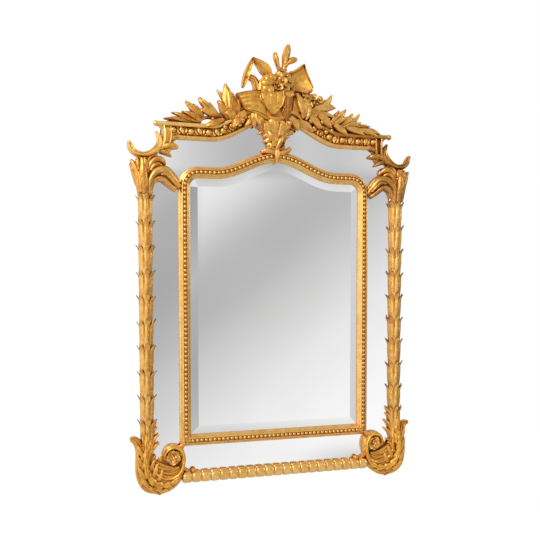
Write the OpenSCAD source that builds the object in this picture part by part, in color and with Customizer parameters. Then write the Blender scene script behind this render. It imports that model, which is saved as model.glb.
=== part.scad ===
// Gilt cushion mirror: a bevelled centre plate in a pearled inner frame, margin plates round it,
// and a carved outer frame with pilasters, corner scrolls and a crest.
// X runs to the right, Y into the wall, Z up. The origin is on the wall face of the upper back rail.
// Side and corner ornament is drawn once for the right and mirrored for the left.

/* [Centre plate] */
// Width of the centre plate between the inner mouldings
sight_w = 586; // [560:2:620]
// Thickness of the bevelled centre plate
plate_t = 6; // [5.5:0.5:8]
// Thickness left at the plate's edge under the moulding
edge_t = 4; // [3.5:0.5:5]
// Width of the ground bevel
bevel_w = 25; // [18:1:27]

/* [Inner frame] */
// Width of the inner moulding
inner_w = 38; // [36:1:40]
// Height of the inner moulding above the plates' edges
inner_rise = 18; // [16:1:24]
// Straight height of the inner frame's sides
side_h = 837; // [780:1:900]
// Radius of the inner frame's shoulders, on the pearl line
shoulder_r = 47; // [46:1:52]
// Rise of the inner frame's arched head
head_rise = 61; // [50:1:66]
// Half the length of the arched part of the inner head
head_half = 212; // [200:2:230]
// Spacing of the pearls
pearl_pitch = 14.5; // [13:0.5:18]
// Diameter of a pearl
pearl_d = 10; // [8:0.5:11]

/* [Margins] */
// Width of the side margin plates that shows
margin_w = 84; // [80:1:90]
// Height of the bottom margin plate that shows
bottom_margin = 81; // [78:1:90]
// Height of the top margin plates that shows at their ends
top_margin = 82; // [78:1:90]

/* [Outer frame] */
// Width of a pilaster's core
pilaster_w = 38; // [34:1:42]
// Height of a pilaster's core in front of its seat
pilaster_rise = 26; // [24:1:32]
// Leaf sleeves on each pilaster
sleeves = 10; // [8:1:12]
// Diameter of the ribbed bottom rail
reel_d = 38; // [34:1:42]
// Length of one rib of the bottom rail
reel_pitch = 31; // [28:1:36]
// Width of the top rail
top_w = 52; // [48:1:56]
// Rise of the top rail's arch
top_rise = 80; // [72:1:86]
// Half the length of the arched part of the top rail
top_half = 225; // [215:5:240]
// Drop from the bottom rail's middle to the lowest tips of the corners
corner_drop = 51; // [51:1:60]

/* [Back] */
// Thickness of the back frame's stiles and rails
back_t = 32; // [28:1:38]
// Thickness of the back panel
panel_t = 8; // [6:1:12]
// Width of the back frame's stiles
stile_w = 160; // [152:2:170]
// Thickness of the crest board
crest_t = 20; // [16:1:24]

/* [Hangers] */
// Thickness of a hanger strap
strap_t = 1.5; // [1:0.25:2.5]
// Width of a hanger strap
strap_w = 18; // [16:1:22]
// Diameter of the hanger ring's wire
wire_d = 4; // [3:0.5:5]
// Inside width of the hanger ring
ring_in_w = 26; // [24:1:32]
// Inside reach of the hanger ring from its pin
ring_reach = 24; // [20:1:30]
// Depth of the pocket that a hanger lies in
pocket_d = 12; // [11:0.5:14]
// Running clearance of the ring's pin in its eye
pin_gap = 0.06; // [0.02:0.02:0.1]
// Diameter of the screws that hold the frame to its back
screw_d = 4; // [3:0.5:4.5]

/* [Hidden] */

// Small clearance between neighbouring pieces
gap = 0.3;
// How far below the origin the lowest tips lie
origin_h = 1060;

// Places in the frame, measured from the lowest tips and the middle
rail_z = corner_drop;
foot_z = rail_z + reel_d / 2 + bottom_margin;
low_z = foot_z + inner_w / 2;
spring_z = foot_z + side_h;
pearl_x = sight_w / 2 + inner_w / 2;
frame_x = pearl_x + inner_w / 2;
pilaster_x = frame_x + margin_w + 2 + pilaster_w / 2;
flat_half = pearl_x - shoulder_r;
head_z = spring_z + shoulder_r;
top_z = head_z + inner_w / 2 + top_margin;
crown_z = top_z + top_rise;
crest_z = crown_z + top_w;

// The inner moulding's tongue, and how far plates reach past a sight edge
tongue_w = 6;
joint_gap = 1;
plate_in = tongue_w / 2 + joint_gap;
outer_tuck = 8;
lip_t = 2;
floor_v = edge_t + inner_rise - 6.5;
strip_t = 1.5;
strip_w = 11;
pocket_top = spring_z - 8;
pocket_w = ring_in_w + 4 * wire_d;
eye_r = wire_d / 2 + 1.6;
pin_v = pocket_d - strap_t - 2 * eye_r + eye_r - 1.6;
strap_l = 52;
pocket_h = strap_l + 2 * eye_r + ring_reach + wire_d + 8;
hanger_z = pocket_top - ring_reach - wire_d - 6;
hanger_x = pilaster_x - 66;

// Arched lines: height and slope of a raised cosine
function arch(x, half, rise) = abs(x) < half ? rise / 2 * (1 + cos(180 * x / half)) : 0;
function arch_slope(x, half, rise) = abs(x) < half ? -rise / 2 * sin(180 * x / half) * PI / half : 0;

// A path point: place and outward normal
function arc_point(a, side) =
    let (n = [side * cos(a), sin(a)])
    [side * flat_half + shoulder_r * n[0], spring_z + shoulder_r * n[1], n[0], n[1]];
function arch_point(x, base, half, rise) =
    let (s = arch_slope(x, half, rise), k = sqrt(1 + s * s))
    [x, base + arch(x, half, rise), -s / k, 1 / k];
function inward(p, u) = [p[0] - u * p[2], p[1] - u * p[3]];

head_steps = 24;
head_path = concat(
    [for (a = [0:15:75]) arc_point(a, -1)],
    [for (i = [0:head_steps]) arch_point(flat_half * (2 * i / head_steps - 1), head_z, head_half, head_rise)],
    [for (a = [75:-15:0]) arc_point(a, 1)]);

// Ends of the top rail, where the corner scrolls take over
rail_end = pilaster_x - 78;
top_steps = 34;
function top_points(x0, x1, steps) =
    [for (i = [0:steps]) arch_point(x0 + (x1 - x0) * i / steps, top_z, top_half, top_rise)];

module from_tips() {
    translate([0, 0, -origin_h]) children();
}

// Flat stock: an outline drawn in X and Z, from v0 in front of the wall to v1
module slab(v0, v1) {
    translate([0, -v0, 0]) rotate([90, 0, 0]) linear_extrude(v1 - v0) children();
}

module both_ways(side) {
    if (side < 0) mirror([1, 0, 0]) children();
    else children();
}

// A moulding run along a path. Its profile holds [u, v]: u inward from the path, v in front of the seat
module run_moulding(path, profile) {
    m = len(profile);
    last = (len(path) - 1) * m;
    points = [for (p = path) for (q = profile) let (c = inward(p, q[0])) [c[0], -(back_t + q[1]), c[1]]];
    sides = [for (i = [0:len(path) - 2]) for (j = [0:m - 1])
        let (a = i * m + j, b = i * m + (j + 1) % m) each [[a, a + m, b + m], [a, b + m, b]]];
    polyhedron(points, concat(sides, [[for (j = [0:m - 1]) j], [for (j = [m - 1:-1:0]) last + j]]));
}

// Inner moulding in section: a tongue between the plates, coved flanks and a channel for the pearls
flank = [[0, lip_t], [3, lip_t + 2.5], [8, lip_t + 8], [inner_w / 2 - 7, inner_rise]];
inner_profile = concat(
    [[-tongue_w / 2, 0], [-tongue_w / 2, edge_t + gap], [-inner_w / 2, edge_t + gap]],
    [for (q = flank) [-inner_w / 2 + q[0], edge_t + q[1]]],
    [[-strip_w / 2, floor_v], [strip_w / 2, floor_v]],
    [for (i = [len(flank) - 1:-1:0]) [inner_w / 2 - flank[i][0], edge_t + flank[i][1]]],
    [[inner_w / 2, edge_t + gap], [tongue_w / 2, edge_t + gap], [tongue_w / 2, 0]]);

// Top rail in section: a rounded lip, a sunk band and a raised fillet, rebated over the glass
top_profile = [[0, edge_t + gap], [0, 10], [2, 14], [6, 16.5], [10, 16], [13, 13], [15, 9], [18, 8],
    [top_w - 14, 8], [top_w - 13, 18], [top_w - 10, 21], [top_w - 5, 22], [top_w - 1, 20], [top_w, 16],
    [top_w, 0], [outer_tuck + joint_gap, 0], [outer_tuck + joint_gap, edge_t + gap]];

function middle(ring) = [for (k = [0:2]) let (s = [for (p = ring) p[k]]) (min(s) + max(s)) / 2];

// Solids skinned over rings of points, each step a convex piece that reaches a little into the next
module skin(rings) {
    last = len(rings) - 1;
    for (i = [0:last - 1])
        let (a = middle(rings[i + 1]), b = middle(rings[min(i + 2, last)]),
            reach = i + 1 < last ? [a + (b - a) * 0.6 / norm(b - a)] : [],
            points = concat(rings[i], rings[i + 1], reach))
            hull() polyhedron(points, [for (k = [0:len(points) - 3]) [k, k + 1, k + 2]]);
}

// Half width of a leaf along its length; a blunt leaf ends broad
function leaf_half(s, blunt) = sin(180 * (0.13 + (blunt ? 0.72 : 0.85) * pow(s, 0.8)));

// A leaf from its base along +Z, ridged in front, its tip lifted forward
module leaf(length, width, thick, lift, steps, blunt) {
    skin([for (i = [0:steps])
        let (s = i / steps, w = width / 2 * leaf_half(s, blunt), y = -lift * s * s, t = thick * (1 - 0.65 * s))
        [[-w, y, length * s], [0, y - t, length * s], [w, y, length * s], [0, y + 0.5 * t, length * s]]]);
}

// A leaf given as [base x, base z, tip x, tip z, width, v]
module laid_leaf(q, thick = 7, lift = 6, steps = 3, blunt = false) {
    dx = q[2] - q[0];
    dz = q[3] - q[1];
    translate([q[0], -(back_t + q[5]), q[1]])
        rotate([0, atan2(dx, dz), 0])
            leaf(norm([dx, dz]), q[4], thick, lift, steps, blunt);
}

band_section = [[-1, 0], [-0.85, 0.62], [-0.35, 0.95], [0.35, 0.95], [0.85, 0.62], [1, 0]];

// A rounded band along points [x, z, half width, height], its flat side at v0
module band(path, v0) {
    n = len(path) - 1;
    skin([for (i = [0:n])
        let (a = path[max(i - 1, 0)], b = path[min(i + 1, n)], p = path[i],
            d = [b[0] - a[0], b[1] - a[1]] / norm([b[0] - a[0], b[1] - a[1]]))
        [for (c = band_section)
            [p[0] - d[1] * p[2] * c[0], -(back_t + v0 + p[3] * c[1]), p[1] + d[0] * p[2] * c[0]]]]);
}

module berry(x, v, z, r) {
    translate([x, -(back_t + v), z]) sphere(r, $fn = 8);
}

// The space of the margin plates, which ornament stays in front of
module glass_zone(more = 0) {
    slab(back_t - 1, back_t + edge_t + gap) polygon([
        [0, rail_z + reel_d / 2 - outer_tuck - joint_gap],
        [pilaster_x - pilaster_w / 2 + outer_tuck + joint_gap, rail_z + reel_d / 2 - outer_tuck - joint_gap],
        [pilaster_x - pilaster_w / 2 + outer_tuck + joint_gap, corner_z + joint_gap],
        [rail_end + 36, ear_z + joint_gap],
        [rail_end, top_z + outer_tuck + joint_gap],
        [top_half, top_z + outer_tuck + joint_gap],
        for (i = [0:12]) let (p = arch_point(top_half * (1 - i / 12), top_z, top_half, top_rise))
            inward(p, -outer_tuck - joint_gap - more)]);
}

module both_glass_zones() {
    for (s = [-1, 1]) both_ways(s) glass_zone(4);
}

// Glass and its joints
tuck_x = pilaster_x - pilaster_w / 2 + outer_tuck;
inner_corner = [pearl_x + plate_in, low_z - plate_in];
outer_corner = [tuck_x, rail_z + reel_d / 2 - outer_tuck];
bracket_in = spring_z + 14;
bracket_out = spring_z + 54;
corner_z = spring_z + 72;
ear_z = spring_z + 124;

function plate_outline(u) = concat(
    [[-(pearl_x - u), low_z + u]],
    [for (p = head_path) inward(p, u)],
    [[pearl_x - u, low_z + u]]);

module centre_plate() from_tips() color("gainsboro") {
    rings = [[plate_in, 0], [plate_in, edge_t], [inner_w / 2 + 1, edge_t], [inner_w / 2 + bevel_w, plate_t]];
    m = len(head_path) + 2;
    points = [for (r = rings) for (c = plate_outline(r[0])) [c[0], -(back_t + r[1]), c[1]]];
    sides = [for (i = [0:len(rings) - 2]) for (j = [0:m - 1])
        let (a = i * m + j, b = i * m + (j + 1) % m) each [[a, b, b + m], [a, b + m, a + m]]];
    polyhedron(points, concat(sides, [[for (j = [m - 1:-1:0]) j], [for (j = [0:m - 1]) 3 * m + j]]));
}

module side_margin_plate(side) from_tips() color("silver") both_ways(side)
    slab(back_t, back_t + edge_t) polygon([
        [inner_corner[0], inner_corner[1] + joint_gap], [outer_corner[0], outer_corner[1] + joint_gap],
        [outer_corner[0], bracket_out - joint_gap], [inner_corner[0], bracket_in - joint_gap]]);

module left_margin_plate() side_margin_plate(-1);
module right_margin_plate() side_margin_plate(1);

module bottom_margin_plate() from_tips() color("silver")
    slab(back_t, back_t + edge_t) polygon([
        inner_corner, [-inner_corner[0], inner_corner[1]], [-outer_corner[0], outer_corner[1]], outer_corner]);

module top_margin_plate(side) from_tips() color("silver") both_ways(side)
    slab(back_t, back_t + edge_t) polygon(concat(
        [[tuck_x, bracket_out + joint_gap], [inner_corner[0], bracket_in + joint_gap]],
        [for (a = [20:10:90]) inward(arc_point(a, 1), -plate_in)],
        [for (i = [1:13]) inward(arch_point(flat_half - (flat_half - joint_gap / 2) * i / 13,
            head_z, head_half, head_rise), -plate_in)],
        [for (i = [0:12]) let (p = inward(arch_point(joint_gap / 2 + top_half * i / 12,
            top_z, top_half, top_rise), -outer_tuck)) [max(p[0], joint_gap / 2), p[1]]],
        [[rail_end, top_z + outer_tuck], [rail_end + 36 - joint_gap, ear_z], [tuck_x, corner_z]]));

module top_left_margin_plate() top_margin_plate(-1);
module top_right_margin_plate() top_margin_plate(1);

// Back frame
stile_out = pilaster_x + pilaster_w / 2 - 2;
stile_in = stile_out - stile_w;
low_rail_z = foot_z + inner_w + 6;
high_rail_z = spring_z + 22;
board_lap = 8;

screw_r = screw_d / 2;
inner_screw_z = [low_z + 60, low_z + side_h / 3, low_z + side_h * 2 / 3, spring_z - 70];
outer_screw_z = [rail_z + 150, low_z + side_h / 3 + 20, low_z + side_h * 2 / 3 + 20, spring_z - 40];
rail_screw_x = [sight_w / 6, sight_w / 2 - 40];
screw_head = 2.4;

// Holes and screws share one list of places: [x, z, length in front of the seat]
screw_places = concat(
    [for (z = inner_screw_z) for (s = [-1, 1]) [s * pearl_x, z, 12]],
    [for (z = outer_screw_z) for (s = [-1, 1]) [s * (pilaster_x + 5), z, 14]],
    [for (x = rail_screw_x) for (s = [-1, 1]) [s * x, low_z, 12]],
    [for (x = rail_screw_x) for (s = [-1, 1]) [s * x, rail_z - 6, 12]]);

module screw_shape(q, slack) {
    translate([q[0], -(back_t + q[2] + slack), q[1]]) rotate([-90, 0, 0])
        cylinder(h = back_t + q[2] + slack - screw_head, r = screw_r + slack);
    translate([q[0], -screw_head - 1.2, q[1]]) rotate([-90, 0, 0])
        cylinder(h = screw_head + 1.2 - (slack > 0 ? -1 : 0.4), r = 2 * screw_r + slack);
}

module screw_holes(x0, x1, z0, z1) {
    for (q = screw_places)
        if (q[0] > x0 && q[0] < x1 && q[1] > z0 && q[1] < z1) screw_shape(q, 0.1);
}

module frame_screws() from_tips() color("dimgray") for (q = screw_places) screw_shape(q, 0);

module back_stile(side) from_tips() color("peru") difference() {
    both_ways(side) difference() {
        slab(0, back_t) polygon([[stile_in, 40], [stile_out, 40], [stile_out, high_rail_z], [stile_in, high_rail_z]]);
        translate([hanger_x - pocket_w / 2, -pocket_d, pocket_top - pocket_h])
            cube([pocket_w, pocket_d + 1, pocket_h]);
        hanger_screw_shapes(0.1);
    }
    screw_holes(side < 0 ? -stile_out : stile_in, side < 0 ? -stile_in : stile_out, 40, high_rail_z);
}

module back_left_stile() back_stile(-1);
module back_right_stile() back_stile(1);

module back_bottom_rail() from_tips() color("peru") difference() {
    slab(0, back_t) polygon([[-stile_in, 40], [stile_in, 40], [stile_in, low_rail_z], [-stile_in, low_rail_z]]);
    screw_holes(-stile_in, stile_in, 40, low_rail_z);
}

// The upper back rail runs over the stiles and follows the top rail's arch
// Upper edge of the back, a little below the top rail's
board_edge = [for (i = [-10:10]) [i / 10 * top_half, top_z + arch(i / 10 * top_half, top_half, top_rise) + top_w - board_lap]];

module back_top_rail() from_tips() color("peru") difference() {
    slab(0, back_t) polygon(concat(
        [[-stile_out, high_rail_z], [stile_out, high_rail_z], [stile_out, corner_z + 8],
            [rail_end + 44, corner_z + 20], [rail_end + 26, ear_z], [rail_end + 22, top_z + top_w - board_lap]],
        [for (i = [20:-1:0]) board_edge[i]],
        [[-rail_end - 22, top_z + top_w - board_lap], [-rail_end - 26, ear_z],
            [-rail_end - 44, corner_z + 20], [-stile_out, corner_z + 8]]));
    crest_dowel_shapes(0.05);
}

module back_panel() from_tips() color("burlywood") slab(back_t - panel_t, back_t) polygon([
    [-stile_in, low_rail_z], [stile_in, low_rail_z], [stile_in, high_rail_z], [-stile_in, high_rail_z]]);

// The crest board stands on the upper rail and is dowelled to it
crest_half = 104;
crest_top = crest_z + 62;

module crest_dowel_shapes(slack) {
    for (s = [-1, 1])
        translate([s * 60, -(back_t - crest_t / 2), crown_z - 18 + arch(60, top_half, top_rise) - top_rise - slack])
            cylinder(h = 90 + 2 * slack, r = 5 + slack);
}

module crest_board() from_tips() color("peru") difference() {
    slab(back_t - crest_t, back_t) polygon(concat(
        [[-crest_half, lookup(-crest_half, board_edge)]],
        [for (p = board_edge) if (abs(p[0]) < crest_half - 1) p],
        [[crest_half, lookup(crest_half, board_edge)]],
        [[crest_half - 6, crest_z + 40], [60, crest_top + 22], [10, crest_top + 34], [-50, crest_top + 6],
            [-crest_half + 20, crest_z + 40], [-crest_half, crest_z + 10]]));
    crest_dowel_shapes(0.05);
}

module crest_dowels() from_tips() color("tan") crest_dowel_shapes(0);

// Inner frame: straight bars mitred at the foot, and an arched head between the sides
module inner_side(side) from_tips() color("goldenrod") difference() {
    both_ways(side) translate([pearl_x, -back_t, 0]) intersection() {
        linear_extrude(spring_z) polygon([for (q = inner_profile) [-q[0], -q[1]]]);
        rotate([90, 0, 0]) translate([0, 0, -1]) linear_extrude(60) polygon([
            [-inner_w / 2 - 1, foot_z + inner_w + 1], [inner_w / 2 + 1, foot_z - 1],
            [inner_w / 2 + 1, spring_z + 1], [-inner_w / 2 - 1, spring_z + 1]]);
    }
    screw_holes(side < 0 ? -frame_x : sight_w / 2, side < 0 ? -sight_w / 2 : frame_x, foot_z, spring_z);
}

module inner_left_moulding() inner_side(-1);
module inner_right_moulding() inner_side(1);

module inner_bottom_moulding() from_tips() color("goldenrod") difference() {
    intersection() {
        translate([-frame_x, -back_t, low_z]) rotate([90, 0, 90])
            linear_extrude(2 * frame_x) polygon([for (q = inner_profile) [-q[1], q[0]]] * [[1, 0], [0, 1]]);
        slab(back_t - 1, back_t + 60) polygon([
            [-frame_x - 1, foot_z - 1], [frame_x + 1, foot_z - 1],
            [sight_w / 2 - 1, foot_z + inner_w + 1], [-sight_w / 2 + 1, foot_z + inner_w + 1]]);
    }
    screw_holes(-sight_w / 2, sight_w / 2, foot_z, foot_z + inner_w);
}

module inner_top_moulding() from_tips() color("goldenrod") run_moulding(head_path, inner_profile);

// Pearls: domes on a thin strip in the moulding's channel
module pearl(x, z) {
    translate([x, -(back_t + floor_v + strip_t - 0.2), z]) rotate([90, 0, 0])
        rotate_extrude() intersection() {
            circle(d = pearl_d);
            translate([0, 0]) square(pearl_d);
        }
}

strip_v = back_t + floor_v + 0.05;
pearl_from = low_z + pearl_pitch / 2;
side_pearls = floor((spring_z - 2 - pearl_from) / pearl_pitch);
bottom_pearls_n = floor((pearl_x - pearl_pitch) / pearl_pitch);

module side_pearl_strip(side) from_tips() color("gold") both_ways(side) {
    slab(strip_v, strip_v + strip_t) polygon([
        [pearl_x - 5, low_z + 5.5], [pearl_x + 5, low_z - 4.5],
        [pearl_x + 5, spring_z - gap], [pearl_x - 5, spring_z - gap]]);
    for (i = [0:side_pearls - 1]) pearl(pearl_x, pearl_from + pearl_pitch * (i + 0.5));
}

module left_pearls() side_pearl_strip(-1);
module right_pearls() side_pearl_strip(1);

module bottom_pearls() from_tips() color("gold") {
    slab(strip_v, strip_v + strip_t) polygon([
        [-pearl_x - 4.5, low_z - 5], [pearl_x + 4.5, low_z - 5],
        [pearl_x - 5.5, low_z + 5], [-pearl_x + 5.5, low_z + 5]]);
    for (i = [-bottom_pearls_n:bottom_pearls_n]) pearl(i * pearl_pitch, low_z);
}

// Arc lengths along the head's path, and a point at a given length
head_lengths = [for (i = 0, s = 0; i < len(head_path);
    s = s + (i + 1 < len(head_path) ? norm([head_path[i + 1][0] - head_path[i][0],
        head_path[i + 1][1] - head_path[i][1]]) : 0), i = i + 1) s];
function head_at(t) = [lookup(t, [for (i = [0:len(head_path) - 1]) [head_lengths[i], head_path[i][0]]]),
    lookup(t, [for (i = [0:len(head_path) - 1]) [head_lengths[i], head_path[i][1]]])];

module top_pearls() from_tips() color("gold") {
    total = head_lengths[len(head_lengths) - 1];
    count = floor((total - pearl_d) / pearl_pitch);
    run_moulding(head_path, [[-5, floor_v + 0.05], [-5, floor_v + 0.05 + strip_t],
        [5, floor_v + 0.05 + strip_t], [5, floor_v + 0.05]]);
    for (i = [0:count]) let (p = head_at(total / 2 + (i - count / 2) * pearl_pitch)) pearl(p[0], p[1]);
}

// Pilasters: a rounded core with overlapping sleeves of leaves
core_r = pilaster_w / 2 + 1;
core_low = rail_z + 66;
core_high = spring_z + 10;
core_section = concat([[pilaster_w / 2, 0]],
    [for (a = [0:15:180]) [pilaster_w / 2 * cos(a), pilaster_rise - core_r + 1 + (core_r - 1) * sin(a)]],
    [[-pilaster_w / 2, edge_t + gap], [-pilaster_w / 2 + outer_tuck + joint_gap, edge_t + gap],
        [-pilaster_w / 2 + outer_tuck + joint_gap, 0]]);

module pilaster_core() {
    translate([pilaster_x, -back_t, core_low]) linear_extrude(core_high - core_low)
        polygon([for (q = core_section) [q[0], -q[1]]]);
}

module pilaster(side) from_tips() color("goldenrod") difference() {
    both_ways(side) pilaster_core();
    screw_holes(side < 0 ? -stile_out : pilaster_x - pilaster_w / 2, side < 0 ? -pilaster_x + 20 : stile_out,
        core_low, core_high);
}

module left_pilaster() pilaster(-1);
module right_pilaster() pilaster(1);

sleeve_low = rail_z + 112;
sleeve_pitch = (spring_z - 36 - sleeve_low) / sleeves;
sleeve_angles = [-76, -38, 0, 38, 76];
sleeve_foot = core_r + 1.6;
sleeve_head = core_r + 3.4;
sleeve_tip = core_r + 7.5;

// One of the leaves round a sleeve
module sleeve_leaf() {
    points = [for (q = [[0, sleeve_foot], [sleeve_pitch * 0.84, sleeve_head]]) each [
        [-6, -core_r + 4, q[0]], [6, -core_r + 4, q[0]], [q[1] * sin(21), -q[1] * cos(21), q[0]],
        [0, -q[1] - 1.6, q[0]], [-q[1] * sin(21), -q[1] * cos(21), q[0]]]];
    tip = [[0, -sleeve_tip, sleeve_pitch * 1.06], [0, 2 - core_r, sleeve_pitch * 0.98]];
    all = concat(points, tip);
    hull() polyhedron(all, [for (k = [0:len(all) - 3]) [k, k + 1, k + 2]]);
}

module sleeve_form() {
    for (k = [0:sleeves - 1]) for (a = sleeve_angles)
        translate([pilaster_x, -(back_t + pilaster_rise - core_r), sleeve_low + sleeve_pitch * k])
            rotate([0, 0, a]) sleeve_leaf();
}

module pilaster_leaves(side) from_tips() color("gold") both_ways(side) difference() {
    sleeve_form();
    pilaster_core();
    slab(0, back_t + edge_t + gap) translate([0, sleeve_low - 2]) square([2 * pilaster_x, side_h]);
}

module left_pilaster_leaves() pilaster_leaves(-1);
module right_pilaster_leaves() pilaster_leaves(1);

// Bottom rail: a turned bar of ribs, flat where it seats
reels = floor((rail_end - 22) * 2 / reel_pitch);
reel_v = 14;
rail_half = reels * reel_pitch / 2;
rib = [[0, -2.5], [0.07, -2.5], [0.1, -0.8], [0.25, 0], [0.75, 0], [0.9, -0.8], [0.93, -2.5], [1, -2.5]];

module bottom_rail() from_tips() color("goldenrod") difference() {
    translate([-rail_half, -(back_t + reel_v), rail_z]) rotate([0, 90, 0]) rotate([0, 0, 90])
        rotate_extrude() polygon(concat([[0, 0]],
            [for (i = [0:reels - 1]) for (q = rib) [reel_d / 2 + q[1], (i + q[0]) * reel_pitch]],
            [[0, 2 * rail_half]]));
    translate([-rail_half - 1, -back_t, 0]) cube([2 * rail_half + 2, 60, 2 * rail_z]);
    translate([-rail_half - 1, -(back_t + edge_t + gap), rail_z + reel_d / 2 - outer_tuck - joint_gap])
        cube([2 * rail_half + 2, 60, 20]);
    screw_holes(-rail_half, rail_half, 0, rail_z + 10);
}

module top_rail_form() {
    run_moulding(top_points(-rail_end, rail_end, top_steps),
        [for (i = [len(top_profile) - 1:-1:0]) [-top_profile[i][0], top_profile[i][1]]]);
}

module top_rail() from_tips() color("goldenrod") top_rail_form();

// Band of berries and small leaves in the top rail's hollow
berry_pitch = 31;
berries = floor((rail_end - 28 - crest_half) / berry_pitch) + 1;
band_mid = 27;
band_floor = 8;

module berry_band(side) from_tips() color("gold") both_ways(side) {
    slab(back_t + band_floor + 0.05, back_t + band_floor + 1.6) polygon(concat(
        [for (i = [0:12]) inward(arch_point(rail_end - (rail_end - crest_half) * i / 12, top_z, top_half, top_rise),
            -band_mid - 5)],
        [for (i = [12:-1:0]) inward(arch_point(rail_end - (rail_end - crest_half) * i / 12, top_z, top_half, top_rise),
            -band_mid + 5)]));
    difference() {
        for (i = [0:berries - 1])
            let (x = rail_end - 18 - berry_pitch * i, p = arch_point(x, top_z, top_half, top_rise),
                a = inward(p, -band_mid), b = inward(arch_point(x - 14, top_z, top_half, top_rise), -band_mid)) {
                translate([a[0], -(back_t + band_floor + 3), a[1]]) sphere(7, $fn = 6);
                laid_leaf([b[0] + 7, b[1] - 6, b[0] - 8, b[1] + 7, 15, band_floor + 2], 8, 3, 2);
            }
        slab(0, back_t + band_floor + 0.05) translate([0, top_z]) square([2 * rail_end, 4 * top_rise]);
    }
}

module left_berry_band() berry_band(-1);
module right_berry_band() berry_band(1);

// Upper corners, drawn from the pilaster's middle at the spring line, x outward
corner_k = margin_w / 84;
function out(list) = [for (q = list) [for (i = [0:len(q) - 1]) i == 0 ? q[0] * (q[0] < 0 ? corner_k : 1) : q[i]]];
function out_leaf(q) = [q[0] * (q[0] < 0 ? corner_k : 1), q[1], q[2] * (q[2] < 0 ? corner_k : 1), q[3], q[4], q[5]];

crescent = out([[42, 124, 4, 12], [38, 110, 6, 16], [27, 99, 8, 20], [10, 92, 9, 24], [-8, 92, 10, 26],
    [-25, 99, 11, 28], [-38, 113, 10, 28], [-45, 130, 8, 24], [-45, 146, 6, 18], [-36, 162, 3, 12]]);
ear = out([[-48, 112, 9, 24], [-60, 130, 9, 26], [-66, 150, 9, 28], [-62, 170, 9, 28], [-52, 184, 9, 26],
    [-40, 188, 9, 24], [-29, 187, 7, 20]]);
corner_leaves = [[-58, 116, -102, 121, 18, 8], [-64, 140, -110, 150, 18, 6], [-70, 158, -96, 172, 14, 10]];

module at_upper_corner() {
    translate([pilaster_x, 0, spring_z]) children();
}

module corner_scroll_form() at_upper_corner() {
    band(crescent, 0);
    band(ear, 0);
    for (q = corner_leaves) laid_leaf(out_leaf(q));
}

module corner_scroll(side) from_tips() color("goldenrod") both_ways(side) difference() {
    corner_scroll_form();
    top_rail_form();
    glass_zone();
}

module left_corner_scroll() corner_scroll(-1);
module right_corner_scroll() corner_scroll(1);

// Capital of the pilaster: leaves that spread under the corner scroll
capital_list = [[18, 36, 51, 68, 24, 6], [12, -6, 31, 30, 18, 8], [12, 20, 34, 90, 26, 10], [4, -22, 6, 82, 34, 16],
    [-6, -16, -20, 78, 30, 14], [-10, 10, -34, 70, 26, 10], [-8, -24, -25, 4, 18, 8], [10, -24, 26, 6, 18, 8]];

module capital_form() at_upper_corner() {
    for (q = capital_list) laid_leaf(out_leaf(q), 12, 6);
    translate([0, -(back_t + pilaster_rise - core_r), 0]) skin([for (q = [[-27, 22], [-4, 21], [40, 25], [76, 20]])
        [for (a = [0:30:180]) [q[1] * cos(a), -q[1] * sin(a), q[0]]]]);
}

module capital(side) from_tips() color("gold") both_ways(side) difference() {
    capital_form();
    corner_scroll_form();
    pilaster_core();
    glass_zone();
    slab(0, back_t + 60) translate([0, spring_z - 80]) square([2 * pilaster_x, 52.5]);
}

module left_capital() capital(-1);
module right_capital() capital(1);

// Bracket of leaves from the capital to the inner frame's shoulder
lower_sweep = out([[-17, -34, 5, 14], [-17, -8, 6, 18], [-23, 12, 7, 20], [-38, 24, 8, 22], [-56, 26, 8, 22],
    [-74, 18, 8, 20], [-90, 6, 8, 18], [-104, -6, 7, 16]]);
upper_sweep = out([[-22, 34, 6, 18], [-36, 46, 8, 22], [-54, 46, 8, 22], [-72, 36, 8, 20], [-90, 24, 8, 18],
    [-106, 12, 7, 14]]);
bracket_list = [[-26, 40, -46, 96, 30, 12], [-34, 40, -66, 98, 30, 8], [-46, 42, -80, 84, 28, 10],
    [-60, 38, -90, 62, 24, 8], [-74, 30, -104, 42, 20, 8], [-56, 26, -56, 8, 16, 6], [-76, 16, -82, 0, 14, 6]];

module bracket_form() at_upper_corner() {
    band(lower_sweep, 0);
    band(upper_sweep, 0);
    for (q = bracket_list) laid_leaf(out_leaf(q), 9, 5);
    slab(back_t + edge_t + gap, back_t + 14) polygon([[-20, -8], [-20, 40], [-52, 52], [-90, 24], [-98, 4],
        [-60, 30], [-34, 22]]);
}

module bracket(side) from_tips() color("goldenrod") both_ways(side) difference() {
    bracket_form();
    capital_form();
    corner_scroll_form();
    pilaster_core();
    glass_zone();
    slab(0, back_t + 60) translate([pilaster_x - 40, 0]) square([100, spring_z - 27]);
    slab(back_t - 1, back_t + 60) translate([0, 0]) square([frame_x + gap, spring_z + shoulder_r]);
}

module left_bracket() bracket(-1);
module right_bracket() bracket(1);

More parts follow.
